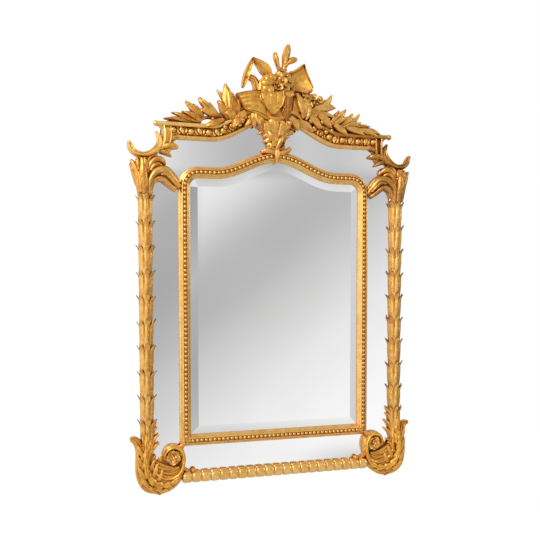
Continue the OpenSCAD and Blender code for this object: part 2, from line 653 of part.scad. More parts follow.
// Lower corners, drawn from the pilaster's middle at the bottom rail's middle, x outward
foot_scroll = out([[51, 140, 5, 12], [41, 134, 7, 16], [29, 120, 9, 20], [23, 100, 12, 24], [22, 74, 15, 26],
    [20, 48, 17, 28], [14, 22, 19, 30], [1, 0, 19, 30], [-16, -16, 19, 30], [-38, -23, 19, 30],
    [-60, -18, 17, 30], [-82, -5, 14, 30], [-99, 15, 12, 30], [-110, 40, 10, 30], [-113, 64, 9, 30],
    [-106, 88, 9, 30], [-88, 102, 9, 30], [-67, 101, 8, 29], [-51, 88, 8, 28], [-45, 68, 7, 26], [-49, 52, 6, 22]]);
foot_tail = out([[-104, 46, 8, 22], [-118, 32, 7, 18], [-132, 24, 7, 16], [-146, 20, 8, 16], [-156, 22, 6, 14]]);
tip_leaves = [[-37, 2, -37, -51, 84, 10], [6, 10, 22, -24, 34, 8], [-62, -8, -62, -30, 40, 8]];
ring_leaves = [[-92, 92, -124, 116, 20, 24], [-104, 84, -128, 98, 16, 24]];

module at_foot() {
    translate([pilaster_x, 0, rail_z]) children();
}

module foot_scroll_form() at_foot() {
    band(foot_scroll, 0);
    band(foot_tail, 0);
    for (q = tip_leaves) laid_leaf(out_leaf(q), 12, 2);
    for (q = ring_leaves) laid_leaf(out_leaf(q), 8, 2);
}

module bottom_rail_space() {
    translate([0, -(back_t + reel_v), rail_z]) rotate([0, 90, 0]) cylinder(h = rail_half + gap, r = reel_d / 2 + gap);
}

module foot_scroll_piece(side) from_tips() color("goldenrod") both_ways(side) difference() {
    foot_scroll_form();
    bottom_rail_space();
    pilaster_core();
    sleeve_form();
    glass_zone();
    slab(0, back_t + edge_t + inner_rise + gap) translate([0, foot_z - gap]) square([frame_x + gap, side_h]);
}

module left_foot_scroll() foot_scroll_piece(-1);
module right_foot_scroll() foot_scroll_piece(1);

// Rosette in the eye of the lower scroll
rosette_at = [-79 * corner_k, 66];
petals = 8;

module rosette_form() at_foot() translate([rosette_at[0], 0, rosette_at[1]]) {
    for (i = [0:petals - 1]) laid_leaf([4 * cos(360 / petals * i), 4 * sin(360 / petals * i),
        27 * cos(360 / petals * i), 27 * sin(360 / petals * i), 19, 24], 10, 6, 2);
    skin([for (q = [[4, 24], [14, 22], [26, 17], [36, 9]]) [for (a = [0:60:300])
        [q[1] * cos(a), -(back_t + q[0]), q[1] * sin(a)]]]);
    translate([0, -(back_t + 37), 0]) sphere(8, $fn = 8);
}

module rosette(side) from_tips() color("gold") both_ways(side) difference() {
    rosette_form();
    foot_scroll_form();
    glass_zone();
}

module left_rosette() rosette(-1);
module right_rosette() rosette(1);

// Leaves at the pilaster's foot, in the scroll's bend and at the inner frame's corner
foot_list = [[-22, 150, -32, 190, 20, 10], [-22, 128, -33, 166, 20, 10], [-20, 104, -37, 145, 22, 8],
    [-18, 84, -37, 118, 22, 8], [0, 44, 2, 118, 36, 24], [2, 44, -20, 88, 30, 8],
    [-10, 24, -30, 70, 30, 8], [-26, 10, -42, 56, 26, 8], [-44, 2, -60, 36, 24, 8], [-62, 2, -84, 24, 22, 8]];
foot_stem = [[-70, -4, 12, 14], [-46, -4, 16, 14], [-24, 8, 18, 14], [-8, 30, 20, 20], [-2, 56, 22, 26],
    [-10, 100, 12, 12], [-20, 130, 5, 12], [-23, 168, 4, 12]];

module foot_leaves(side) from_tips() color("gold") both_ways(side) difference() {
    at_foot() {
        for (q = foot_list) laid_leaf(out_leaf(q), 11, 4, 2);
        band(foot_stem, 0);
    }
    foot_scroll_form();
    rosette_form();
    pilaster_core();
    glass_zone();
    sleeve_form();
    bottom_rail_space();
}

module left_foot_leaves() foot_leaves(-1);
module right_foot_leaves() foot_leaves(1);

// Sprays of laurel over the top rail, from the ear up to the crest: [base x, base z, tip x, tip z, width, v],
// x from the middle, z from the crest line less the arch's rise at that place
spray_list = [[348, 48, 376, 60, 24, 14], [334, 48, 348, 80, 30, 12], [308, 48, 320, 88, 34, 12],
    [288, 48, 304, 118, 36, 12], [268, 48, 278, 114, 36, 14], [250, 48, 258, 132, 40, 12],
    [226, 48, 234, 116, 40, 14], [206, 48, 202, 166, 50, 12], [182, 48, 176, 188, 52, 10],
    [160, 48, 150, 170, 48, 12], [138, 48, 128, 170, 44, 12], [318, 50, 286, 68, 24, 16],
    [276, 50, 240, 66, 26, 16], [232, 52, 194, 76, 28, 16], [190, 54, 150, 104, 32, 16], [150, 54, 112, 120, 34, 16]];
spray_stem = [[364, 54, 5, 12], [320, 56, 8, 14], [270, 56, 9, 16], [220, 57, 10, 16], [180, 66, 12, 16],
    [140, 86, 12, 18], [106, 102, 12, 18]];

module spray_form() {
    for (q = spray_list)
        laid_leaf([q[0], top_z + arch(q[0], top_half, top_rise) + q[1], q[2], top_z + q[3], q[4], q[5]], 8, 8, 2);
    translate([0, 0, top_z]) band(spray_stem, 0);
}

module spray(side) from_tips() color("gold") both_ways(side) difference() {
    spray_form();
    top_rail_form();
    corner_scroll_form();
    both_ways(side) {
        left_sheet_form();
        right_sheet_form();
    }
    slab(0, back_t + 80) translate([-400, 0]) square([400 + crest_half, 2 * top_z]);
    slab(0, back_t + 80) polygon([for (p = top_points(rail_end + 60, -10, 18)) inward(p, -top_w + 12), [0, 0]]);
}

module left_spray() spray(-1);
module right_spray() spray(1);

// Centre bracket: a plume from the crest down to the inner frame's crown
inner_crown = head_z + head_rise + inner_w / 2;
plume = [[0, 128, 46, 34], [-4, 100, 42, 34], [-6, 72, 32, 30], [-6, 46, 22, 26], [-6, 24, 30, 24], [-6, 2, 34, 22],
    [-6, -8, 30, 14]];
plume_list = [[-8, 120, -52, 84, 34, 18], [8, 116, 50, 82, 34, 18], [-8, 92, -42, 50, 30, 16], [6, 88, 34, 46, 30, 16],
    [-10, 30, -62, 12, 30, 12], [4, 30, 44, 16, 30, 12], [0, 120, -4, 20, 36, 26], [-18, 112, -26, 58, 26, 22],
    [20, 112, 16, 58, 26, 22]];

module plume_form() translate([0, 0, inner_crown]) {
    band(plume, 0);
    for (q = plume_list) laid_leaf(q, 10, 6);
}

module centre_bracket() from_tips() color("gold") difference() {
    plume_form();
    slab(0, back_t + edge_t + gap) square([4 * crest_half, 2 * crown_z + 2 * outer_tuck + 2], center = true);
    top_rail_form();
    slab(0, back_t + edge_t + inner_rise + gap) polygon(concat([for (p = head_path) inward(p, -inner_w / 2 - gap)],
        [[frame_x, 0], [-frame_x, 0]]));
    crest_base();
}

// Crest, drawn from the middle of the top rail's upper edge
module at_crest() {
    translate([0, 0, crest_z + 6]) children();
}

crest_front = 24;

module crest_base() at_crest() {
    slab(back_t - 1, back_t + 90) translate([-crest_half - 60, -56]) square([2 * crest_half + 120, 400]);
}

module basket_form() at_crest() translate([24, 0, 0])
    skin([for (q = [[-56, 20, 32], [-26, 26, 40], [4, 31, 46], [30, 36, 48]])
        [for (a = [0:30:180]) [q[1] * cos(a), -(back_t + q[2] * sin(a)), q[0]]]]);

module crest_basket() from_tips() color("darkgoldenrod") difference() {
    basket_form();
    top_rail_form();
    shield_form();
    both_glass_zones();
}

flowers = [[-10, 48, 15], [8, 42, 15], [28, 42, 15], [44, 44, 13], [-2, 68, 15], [16, 64, 17], [34, 64, 14],
    [4, 88, 13], [22, 86, 14], [14, 102, 11]];

module bouquet_form() at_crest() {
    for (q = flowers) translate([q[0], -(back_t + 20 + q[2] / 2), q[1]]) sphere(q[2], $fn = 8);
    skin([for (q = [[30, 34], [60, 32], [90, 20], [108, 12]])
        [for (a = [0:45:180]) [16 + q[1] * cos(a), -(back_t + 24 * sin(a)), q[0]]]]);
}

module crest_bouquet() from_tips() color("gold") difference() {
    bouquet_form();
    basket_form();
}

// Drapery behind the left of the bouquet, folded over in a loop
drape_loop = [[-118, 34, 3, 12], [-107, 60, 11, 18], [-96, 92, 14, 20], [-86, 118, 12, 22], [-74, 135, 7, 22],
    [-58, 134, 8, 22], [-42, 120, 11, 24], [-32, 102, 12, 26], [-26, 84, 14, 26]];
drape_fold = [[-92, 60, 9, 20], [-78, 56, 16, 26], [-62, 50, 24, 34], [-44, 50, 32, 38], [-26, 58, 30, 36], [-12, 74, 16, 28]];

module drape_form() at_crest() {
    band(drape_loop, 0);
    band(drape_fold, 0);
}

module crest_drape() from_tips() color("gold") difference() {
    drape_form();
    bouquet_form();
    basket_form();
    shield_form();
    left_sheet_form();
    right_sheet_form();
}

// An open sheet to the left, its lower corner curling forward
left_sheet = [[-134, 10, 22, 26], [-112, 4, 34, 32], [-84, -2, 38, 34], [-58, -10, 40, 32], [-44, -30, 28, 30],
    [-50, -48, 12, 24]];

module left_sheet_form() at_crest() band(left_sheet, 0);

module crest_left_sheet() from_tips() color("gold") difference() {
    left_sheet_form();
    shield_form();
    basket_form();
    bouquet_form();
    top_rail_form();
}

// A leaf-shaped shield on the middle
shield = [[-17, 30, 24, 46], [-19, 16, 30, 52], [-19, -4, 29, 54], [-18, -26, 20, 50], [-15, -48, 6, 42]];

module shield_form() at_crest() band(shield, 0);

module crest_shield() from_tips() color("gold") difference() {
    shield_form();
    bouquet_form();
    top_rail_form();
}

// A curled sheet to the right, concave towards the front
right_sheet = [[30, 66, 18, 18], [52, 70, 26, 16], [74, 76, 36, 14], [94, 78, 40, 18], [108, 62, 26, 24], [116, 50, 10, 26]];
sheet_corner = [[78, 90], [92, 126], [98, 104]];

module right_sheet_form() at_crest() {
    band(right_sheet, 0);
    slab(back_t, back_t + 16) polygon(sheet_corner);
}

module crest_right_sheet() from_tips() color("gold") difference() {
    right_sheet_form();
    bouquet_form();
    basket_form();
}

// The sprig at the very top
sprig_list = [[16, 100, 37, 193, 36, 8], [14, 106, -12, 163, 24, 8], [20, 104, 60, 146, 26, 10]];

module sprig_form() at_crest() {
    for (q = sprig_list) laid_leaf(q, 10, 8, 4, true);
    laid_leaf([16, 92, 20, 140, 22, 12], 10, 2, 2);
}

module crest_sprig() from_tips() color("gold") difference() {
    sprig_form();
    bouquet_form();
}

// Shell-like leaves that spread under the sheets on both sides
shell_list = [[-50, -46, -112, -40, 40, 14], [-44, -62, -100, -72, 34, 16], [-70, -44, -134, -60, 34, 12],
    [56, -30, 108, -6, 46, 14], [50, -48, 112, -36, 44, 18], [44, -62, 84, -74, 34, 14], [70, 0, 128, 24, 40, 12],
    [70, 20, 120, 42, 34, 10], [-24, -60, -56, -84, 30, 22], [34, -60, 58, -84, 30, 22]];
shell_stem = [[-100, -66, 10, 14], [-60, -48, 14, 16], [-30, -40, 18, 18], [4, -44, 22, 20], [36, -42, 20, 18], [64, -30, 20, 16],
    [82, 4, 16, 14], [88, 30, 10, 12]];

leaf_trim = 5;

module shell_leaves(side) from_tips() color("gold") difference() {
    at_crest() {
        for (q = shell_list) if (q[2] * side > 0) laid_leaf(q, 14, 6, 2);
        band([for (q = shell_stem) if (q[0] * side > 20) q], 0);
    }
    left_sheet_form();
    right_sheet_form();
    shield_form();
    basket_form();
    bouquet_form();
    drape_form();
    plume_form();
    top_rail_form();
    both_glass_zones();
    both_ways(side) slab(0, back_t + 90) {
        translate([crest_half - leaf_trim, 0]) square([400, 2 * top_z]);
        translate([-400, 0]) square([400, 2 * top_z]);
    }
}

module crest_left_leaves() shell_leaves(-1);
module crest_right_leaves() shell_leaves(1);

// Ring hangers let into the back of the stiles. The strap holds the ring's pin in a rolled eye
module at_hanger(side) {
    translate([side * hanger_x, 0, hanger_z]) children();
}

module hanger_screw_shapes(slack) {
    for (dz = [-22, -42])
        translate([hanger_x, -(pocket_d + 14 + slack), hanger_z + dz]) rotate([-90, 0, 0])
            cylinder(h = 14 + strap_t + 2 * slack, r = 1.75 + slack);
}

module hanger(side) from_tips() color("dimgray") difference() {
    at_hanger(side) {
        difference() {
            union() {
                translate([-strap_w / 2, -pocket_d, -strap_l]) cube([strap_w, strap_t, strap_l]);
                translate([-strap_w / 2, -pin_v, 0]) rotate([0, 90, 0]) cylinder(h = strap_w, r = eye_r);
                translate([-strap_w / 2, -pocket_d, -eye_r]) cube([strap_w, pocket_d - pin_v, 2 * eye_r - 1]);
            }
            translate([-strap_w, -pin_v, 0]) rotate([0, 90, 0])
                cylinder(h = 2 * strap_w, r = wire_d / 2 + pin_gap);
        }
    }
    both_ways(side) hanger_screw_shapes(0.05);
}

module left_hanger() hanger(-1);
module right_hanger() hanger(1);

// A D of round wire: a straight pin through the eye, two legs and a round end
module ring(side) from_tips() color("gray") at_hanger(side) translate([0, -pin_v, 0]) {
    half = ring_in_w / 2 + wire_d / 2;
    r = wire_d / 2;
    translate([-half, 0, 0]) rotate([0, 90, 0]) cylinder(h = 2 * half, r = r);
    for (s = [-1, 1]) {
        translate([s * half, 0, 0]) sphere(r);
        translate([s * half, 0, half - ring_reach - r]) cylinder(h = ring_reach + r - half, r = r);
    }
    translate([0, 0, half - ring_reach - r]) rotate([90, 0, 0])
        rotate_extrude(angle = 180, start = 180) translate([half, 0]) circle(r);
}

module left_ring() ring(-1);
module right_ring() ring(1);

module hanger_screws() from_tips() color("dimgray") for (s = [-1, 1]) both_ways(s) hanger_screw_shapes(0);

back_left_stile();
back_right_stile();
back_bottom_rail();
back_top_rail();
back_panel();
crest_board();
crest_dowels();
centre_plate();
left_margin_plate();
right_margin_plate();
bottom_margin_plate();
top_left_margin_plate();
top_right_margin_plate();
inner_left_moulding();
inner_right_moulding();
inner_bottom_moulding();
inner_top_moulding();
left_pearls();
right_pearls();
bottom_pearls();
top_pearls();
left_pilaster();
right_pilaster();
left_pilaster_leaves();
right_pilaster_leaves();
bottom_rail();
top_rail();
left_berry_band();
right_berry_band();
left_corner_scroll();
right_corner_scroll();
left_capital();
right_capital();
left_bracket();
right_bracket();
left_foot_scroll();
right_foot_scroll();
left_rosette();
right_rosette();
left_foot_leaves();
right_foot_leaves();
left_spray();
right_spray();
centre_bracket();
crest_basket();
crest_bouquet();
crest_drape();
crest_left_sheet();
crest_right_sheet();
crest_shield();
crest_sprig();
crest_left_leaves();
crest_right_leaves();
left_hanger();
right_hanger();
left_ring();
right_ring();
frame_screws();
hanger_screws();
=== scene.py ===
import math
import random
from itertools import zip_longest
import bmesh
import bpy
import numpy as np
from mathutils import Matrix, Vector


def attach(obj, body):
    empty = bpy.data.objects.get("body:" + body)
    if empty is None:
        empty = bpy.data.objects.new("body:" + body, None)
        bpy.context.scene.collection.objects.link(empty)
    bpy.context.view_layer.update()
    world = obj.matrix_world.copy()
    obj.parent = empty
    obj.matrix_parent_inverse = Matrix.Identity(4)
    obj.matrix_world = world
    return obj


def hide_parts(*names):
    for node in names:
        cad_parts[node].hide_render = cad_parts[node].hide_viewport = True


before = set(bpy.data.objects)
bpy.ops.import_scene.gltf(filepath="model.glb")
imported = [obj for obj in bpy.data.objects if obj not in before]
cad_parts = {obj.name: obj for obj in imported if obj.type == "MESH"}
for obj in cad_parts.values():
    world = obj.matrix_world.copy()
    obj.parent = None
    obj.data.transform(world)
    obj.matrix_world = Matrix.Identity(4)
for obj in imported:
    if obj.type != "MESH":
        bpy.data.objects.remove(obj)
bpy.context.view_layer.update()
random.seed(7)
BODY = "frame_body"
MOULDING = "gilt_moulding"
CARVING = "gilt_ornament"
BRIGHT = "gilt_burnished"
SHARP_ANGLE = 38.0

# Sizes in millimetres, as in the part: z from the lowest tips, v in front of the seat
BACK_T = 32.0
ORIGIN_H = 1060.0
RAIL_Z = 51.0
LOW_Z = 170.0
SPRING_Z = 988.0
SHOULDER_R = 47.0
HEAD_Z = 1035.0
HEAD_HALF = 212.0
HEAD_RISE = 61.0
TOP_Z = 1136.0
TOP_HALF = 225.0
TOP_RISE = 80.0
CREST_Z = 1274.0
PEARL_X = 312.0
PEARL_PITCH = 14.5
INNER_W = 38.0
MITRE_TOP = 230.0
PILASTER_X = 436.0
PILASTER_V = 6.0
RAIL_END = 358.0
GLASS_FACE = 4.3
CARVING_BACK = 4.4
REARMOST = 0.3
SIDES = ((-1, "left"), (1, "right"))


def arch_line(xs, base, half, rise):
    """Points of an arched line with their outward normals."""
    xs = np.asarray(xs, float)
    turn = np.pi * np.clip(xs / half, -1, 1)
    slope = -rise / 2 * np.sin(turn) * np.pi / half
    k = np.sqrt(1 + slope ** 2)
    return np.stack([xs, base + rise / 2 * (1 + np.cos(turn)), -slope / k, 1 / k], 1)


def top_line(xs):
    """The top rail's lower edge, over any xs."""
    return arch_line(xs, TOP_Z, TOP_HALF, TOP_RISE)


def head_line():
    """The pearl line over the shoulders and the arched head of the inner frame."""
    half = PEARL_X - SHOULDER_R
    a = np.radians(np.linspace(0, 90, 14, endpoint=False))
    left = np.stack([-half - SHOULDER_R * np.cos(a), SPRING_Z + SHOULDER_R * np.sin(a), -np.cos(a), np.sin(a)], 1)
    middle = arch_line(np.linspace(-half, half, 110), HEAD_Z, HEAD_HALF, HEAD_RISE)
    return np.concatenate([left, middle, left[::-1] * (-1, 1, -1, 1)])


def smooth_path(points, per=5, closed=False):
    """A rounded line through rows of numbers, or a rounded outline."""
    p = np.asarray(points, float)
    q = np.concatenate([p[-1:], p, p[:2]] if closed else [[2 * p[0] - p[1]], p, [2 * p[-1] - p[-2]]])
    t = np.linspace(0, 1, per, endpoint=False)[:, None]
    out = [0.5 * (2 * b + (c - a) * t + (2 * a - 5 * b + 4 * c - d) * t ** 2 + (3 * b - a - 3 * c + d) * t ** 3)
           for a, b, c, d in zip(q, q[1:], q[2:], q[3:])]
    return np.concatenate(out if closed else out + [p[-1:]])


def heading(p):
    """Unit direction of a path in x, z."""
    d = np.gradient(p[:, :2], axis=0)
    return d / np.linalg.norm(d, axis=1, keepdims=True)


def disc(x, v, z, r, n):
    """A ring that faces forward."""
    a = np.linspace(0, 2 * np.pi, n, endpoint=False)
    return np.stack([x + r * np.cos(a), np.full(n, float(v)), z + r * np.sin(a)], 1)


def hoop(x, v, z, rx, rv, angles, low=REARMOST):
    """A ring round an upright axis, kept in front of the low v."""
    return np.stack([x + rx * np.sin(angles), np.maximum(low, v + rv * np.cos(angles)), z + 0 * angles], -1)


def shell(x, front, rear, z):
    """Rings that go along a front surface and back along the rear one."""
    x, front, rear, z = np.broadcast_arrays(x, front, rear, z)
    return np.concatenate([np.stack([x, front, z], 2), np.stack([x, rear, z], 2)[:, ::-1]], 1)


class Shape:
    """Closed shells gathered into one mesh. Rows hold x, v, z in millimetres."""
    bands = 0

    def __init__(self):
        self.v = []
        self.f = []
        self.count = 0

    def tube(self, rings):
        """Rings of points joined into a shell with closed ends."""
        rings = np.asarray(rings, float)
        n, m = rings.shape[:2]
        ids = self.count + np.arange(n * m).reshape(n, m)
        turned = np.roll(ids, -1, 1)
        self.v.append(rings.reshape(-1, 3))
        self.f += np.stack([ids[:-1], turned[:-1], turned[1:], ids[1:]], 2).reshape(-1, 4).tolist()
        self.f += [ids[0].tolist(), ids[-1, ::-1].tolist()]
        self.count += n * m
        return self

    def ball(self, x, v, z, r, flat=1.0, n=12, rows=7):
        pole = np.pi / 2 - 0.15
        return self.tube([disc(x, v + r * flat * np.sin(e), z, r * np.cos(e), n)
                          for e in np.linspace(-pole, pole, rows)])

    def sweep(self, path, profile):
        """A moulding: path rows hold x, z and the outward normal, profile rows u inward and v."""
        x, z, nx, nz = (col[:, None] for col in np.asarray(path, float).T)
        u, v = np.asarray(profile, float).T
        return self.tube(np.stack(np.broadcast_arrays(x - u * nx, v, z - u * nz), 2))

    def band(self, points, section, v0=0.0, per=5):
        """A scroll along rows of x, z, half width, height, with a flat back.

        Each back lies a little behind the last, so that no two share a plane."""
        Shape.bands = (Shape.bands + 1) % 20
        p = smooth_path(points, per)
        x, z, half, height = (col[:, None] for col in p.T)
        dx, dz = (col[:, None] for col in heading(p).T)
        across, up = np.asarray(section, float).T
        side = half * across
        return self.tube(np.stack([x - dz * side, v0 - 0.03 * Shape.bands + height * up, z + dx * side], 2))

    def leaf(self, q, lift=8.0, thick=6.0, lobes=4, cut=0.3, bend=0.0, curl=0.0, cup=0.0, blunt=False, veins=1.0,
             back=3.5, nt=13):
        """A carved leaf from base x, z to tip x, z, with its width and v. Lobes are swept to the tip."""
        bx, bz, tx, tz, width, v = q
        s = np.linspace(0, 1, 6 * max(lobes, 2) + 3)[:, None]
        t = np.linspace(-1, 1, nt)[None, :]
        length = math.hypot(tx - bx, tz - bz)
        env = np.sin(np.pi * (0.13 + (0.72 if blunt else 0.85) * s ** 0.8))
        notch = cut * (1 - (s * lobes) % 1.0) ** 1.6 * (s > 0.06) * (s < 0.96)
        along = length * (s + 0.36 / max(lobes, 2) * np.abs(t) ** 1.4 * (1 - s))
        side = width / 2 * env * (1 - notch) * t + bend * np.sin(np.pi * s * 0.9)
        wave = np.cos(2 * np.pi * (lobes * s - 0.62 * np.abs(t)))
        height = (thick * ((1 - 0.55 * s) * (1 - (1 - cup) * t ** 2 * 0.85) + cup * t ** 2)
                  + veins * (1 - 0.4 * s) * (1.7 * wave * np.abs(t) ** 0.6 - 2.2 * np.exp(-(t / 0.13) ** 2)))
        base = v + lift * s ** 2 + curl * np.clip((s - 0.62) / 0.38, 0, 1) ** 2
        front = base + height * np.minimum(1, env * 1.6 + 0.15)
        rear = np.minimum(base - back * (1 - 0.5 * s) * (1 - 0.5 * t ** 2) - 0.6, front - 1.2)
        ux, uz = (tx - bx) / length, (tz - bz) / length
        return self.tube(shell(bx + ux * along + uz * side, front, rear, bz + uz * along - ux * side))

    def sheet(self, rows, back, flute, count):
        """A curved sheet through rows of x, z, v, with a thickness and shallow flutes."""
        grid = np.array([smooth_path(r, 6) for r in rows])
        grid = np.stack([smooth_path(grid[:, j], 6) for j in range(grid.shape[1])], 1)
        front = grid[..., 2] + flute * np.cos(2 * np.pi * count * np.linspace(0, 1, len(grid))[:, None])
        return self.tube(shell(grid[..., 0], front, np.maximum(REARMOST, front - back), grid[..., 1]))

    def frond(self, rows, lobes=0, cut=0.3, back=9.0, veins=1.0, roll=0.0):
        """A leaf along a curved line. Rows hold x, z, half width, v and the crown's height. Roll tips it sideways."""
        p = smooth_path(rows, 7)
        run = np.linspace(0, 1, len(p))
        s = np.linspace(0, 1, len(p) + 6 * lobes)[:, None]
        t = np.linspace(-1, 1, 13)[None, :]

        def pick(col, u):
            return np.interp(u, run, col)

        at = s + 0 * t
        half, base, crown = (pick(p[:, k], s) for k in (2, 3, 4))
        full = np.minimum(1, half / 9)
        wave = 0.9 * np.cos(3 * np.pi * t)
        if lobes:
            at = np.clip(s + 0.36 / max(lobes, 3) * np.abs(t) ** 1.4 * (1 - s), 0, 1)
            half = half * (1 - cut * (1 - (s * lobes) % 1.0) ** 1.5 * (s > 0.05) * (s < 0.97))
            wave = 1.3 * np.cos(2 * np.pi * (lobes * s - 0.62 * np.abs(t))) * np.abs(t) ** 0.6
        height = crown * (1 - 0.85 * t ** 2) + veins * full * (wave - 2.0 * np.exp(-(t / 0.13) ** 2))
        side = half * t
        front = base + height + roll * side
        rear = np.minimum(np.maximum(base - back, REARMOST), front - 1.5)
        x, z, dx, dz = (pick(col, at) for col in (*p[:, :2].T, *heading(p).T))
        return self.tube(shell(x - dz * side, front, rear, z + dx * side))

    def fronds(self, tables, lobes=(), **look):
        """Fronds of one look. Lobes are listed in their order, and are none where the list ends."""
        for rows, count in zip_longest(tables, lobes, fillvalue=0):
            self.frond(rows, count, **look)
        return self

    def boss(self, outline, centre, rings):
        """A raised form inside an outline. Rings hold how far out they are and their v."""
        p = smooth_path(outline, closed=True)
        c = np.asarray(centre, float)
        return self.tube([np.insert(c + k * (p - c), 1, v, axis=1) for k, v in rings])

    def mirrored(self):
        other = Shape()
        other.v = [a * (-1.0, 1.0, 1.0) for a in self.v]
        other.f = self.f
        return other

    def shifted(self, dx, dz):
        self.v = [a + (dx, 0.0, dz) for a in self.v]
        return self

    def piece(self, name, material, slot, node, angle=SHARP_ANGLE):
        """The mesh in the frame's metres. It rides on the frame and replaces its CAD node."""
        x, v, z = np.concatenate(self.v).T
        mesh = bpy.data.meshes.new(name)
        mesh.from_pydata((np.stack([x, -(BACK_T + v), z - ORIGIN_H], 1) / 1000.0).tolist(), [], self.f)
        bm = bmesh.new()
        bm.from_mesh(mesh)
        bmesh.ops.recalc_face_normals(bm, faces=bm.faces)
        bm.to_mesh(mesh)
        bm.free()
        mesh.polygons.foreach_set("use_smooth", [True] * len(mesh.polygons))
        mesh.set_sharp_from_angle(angle=math.radians(angle))
        mesh.materials.append(material)
        obj = bpy.data.objects.new(name, mesh)
        bpy.context.scene.collection.objects.link(obj)
        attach(obj, BODY)
        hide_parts(node)


def flower(shape, x, v, z, r, turn, tilt_x, tilt_z):
    """A flower of four cupped petals that looks out along a tilted axis."""
    n = Vector((tilt_x, 1.0, tilt_z)).normalized()
    side = n.cross(Vector((0, 0, 1))).normalized()
    axes = np.array([side, n, side.cross(n)])
    s = np.linspace(0.12, 1, 6)[:, None]
    t = np.linspace(-1, 1, 5)[None, :]
    half = 0.62 * r * np.sin(np.pi * (0.16 + 0.70 * s)) * t
    up = 3.6 * s - 15.0 * np.maximum(0.0, s - 0.7) ** 1.3 + 1.8 * t ** 2
    for i in range(4):
        c, d = math.cos(turn + math.pi / 2 * i), math.sin(turn + math.pi / 2 * i)
        petal = shell(s * r * c - half * d, up, up - 2.4, s * r * d + half * c)
        shape.tube((x, v, z) + petal @ axes)
    shape.ball(*((x, v, z) + 5 * axes[1]), r * 0.26, 1.0, 10, 6)


ROLLS = (0.30, -0.15, 0.12, -0.22, 0.24)


def sprout(shape, leaves, back=12):
    """Leaves along curved lines: v, lobes, then x, z and half width from the base to the tip."""
    for k, (v, lobes, pts) in enumerate(leaves):
        last = len(pts) - 1
        rows = [[x, z, w, v + 5 * math.sin(math.pi * i / last), 8 - 4.5 * i / last]
                for i, (x, z, w) in enumerate(pts)]
        shape.frond(rows, lobes, 0.32, back=back, roll=ROLLS[k % 5])


# Materials
WHITE = (1.0, 1.0, 1.0)
BLACK = (0.0, 0.0, 0.0)


def feed(tree, pin, value):
    """Links another node's output into a pin, or sets the pin's own value."""
    if isinstance(value, bpy.types.NodeSocket):
        tree.links.new(value, pin)
    else:
        pin.default_value = (*value, 1) if pin.type == "RGBA" and len(value) == 3 else value


def new_node(tree, kind, *values, **named):
    """A shader node with its first inputs, and those that are named, filled in."""
    node = tree.nodes.new("ShaderNode" + kind)
    for pin, value in zip(node.inputs, values):
        feed(tree, pin, value)
    for name, value in named.items():
        feed(tree, node.inputs[name.replace("_", " ")], value)
    return node


def new_material(name, **values):
    mat = bpy.data.materials.new(name)
    mat.use_nodes = True
    shader = mat.node_tree.nodes["Principled BSDF"]
    for key, value in values.items():
        shader.inputs[key.replace("_", " ")].default_value = value
    return mat, mat.node_tree, shader


def ramp(nt, source, stops):
    stops = list(stops)
    node = new_node(nt, "ValToRGB", source)
    els = node.color_ramp.elements
    while len(els) < len(stops):
        els.new(0.5)
    for el, (pos, col) in zip(els, stops):
        el.position = pos
        el.color = (*col, 1)
    return node.outputs[0]


def noise(nt, scale, detail=3.0, rough=0.55, stretch=(1, 1, 1)):
    mapping = new_node(nt, "Mapping", Vector=new_node(nt, "TexCoord").outputs["Object"], Scale=stretch)
    node = new_node(nt, "TexNoise", Vector=mapping.outputs[0], Scale=scale, Detail=detail, Roughness=rough)
    return node.outputs["Fac"]


def mix(nt, a, b, fac, mode="MIX"):
    node = new_node(nt, "Mix", fac)
    node.data_type = "RGBA"
    node.blend_type = mode
    for pin, value in zip((i for i in node.inputs if i.type == "RGBA"), (a, b)):
        feed(nt, pin, value)
    return next(o for o in node.outputs if o.type == "RGBA")


def bump(nt, shader, height, strength, distance):
    node = new_node(nt, "Bump", Height=height, Strength=strength, Distance=distance)
    feed(nt, shader.inputs["Normal"], node.outputs[0])


def gold(name, light, mid, dark, reach=0.014, rough=(0.25, 0.40), stops=(0.14, 0.54, 0.94), tooled=0.0, metal=0.8):
    """Gilding toned by ambient occlusion: pale on open high points and brown in the hollows and between parts. This
    is painted shade as well as the dirt old gilding keeps there. Tooled is how far the gouge marks show.
    """
    mat, nt, sh = new_material(name, Metallic=metal, Coat_Weight=0.22, Coat_IOR=1.7, Coat_Roughness=0.32)
    # Occlusion darkens the colour where parts crowd close: painted shade, partly dirt in the hollows.
    hollow = new_node(nt, "AmbientOcclusion", Distance=reach)
    hollow.samples = 8
    tone = ramp(nt, hollow.outputs["AO"], zip(stops, (dark, mid, light)))
    patch = ramp(nt, noise(nt, 38.0, 4.0, 0.6), [(0.34, (0.80, 0.66, 0.40)), (0.62, WHITE)])
    tone = mix(nt, tone, patch, 0.75, "MULTIPLY")
    worn = ramp(nt, noise(nt, 150.0, 3.0, 0.7), [(0.66, BLACK), (0.78, WHITE)])
    tone = mix(nt, tone, (0.26, 0.09, 0.02), mix(nt, BLACK, worn, 0.35))
    gloss = ramp(nt, noise(nt, 90.0, 3.0, 0.6), [(0.3, (rough[0],) * 3), (0.7, (rough[1],) * 3)])
    feed(nt, sh.inputs["Roughness"], gloss)
    if tooled:
        marks = noise(nt, 62.0, 4.0, 0.5)
        tint = ramp(nt, marks, [(0.38, (0.70, 0.52, 0.30)), (0.56, WHITE)])
        tone = mix(nt, tone, tint, 0.8 * tooled, "MULTIPLY")
        bump(nt, sh, marks, 0.6 * tooled, 0.005)
    else:
        bump(nt, sh, noise(nt, 200.0, 3.0, 0.5), 0.10, 0.0006)
    feed(nt, sh.inputs["Base Color"], tone)
    return mat


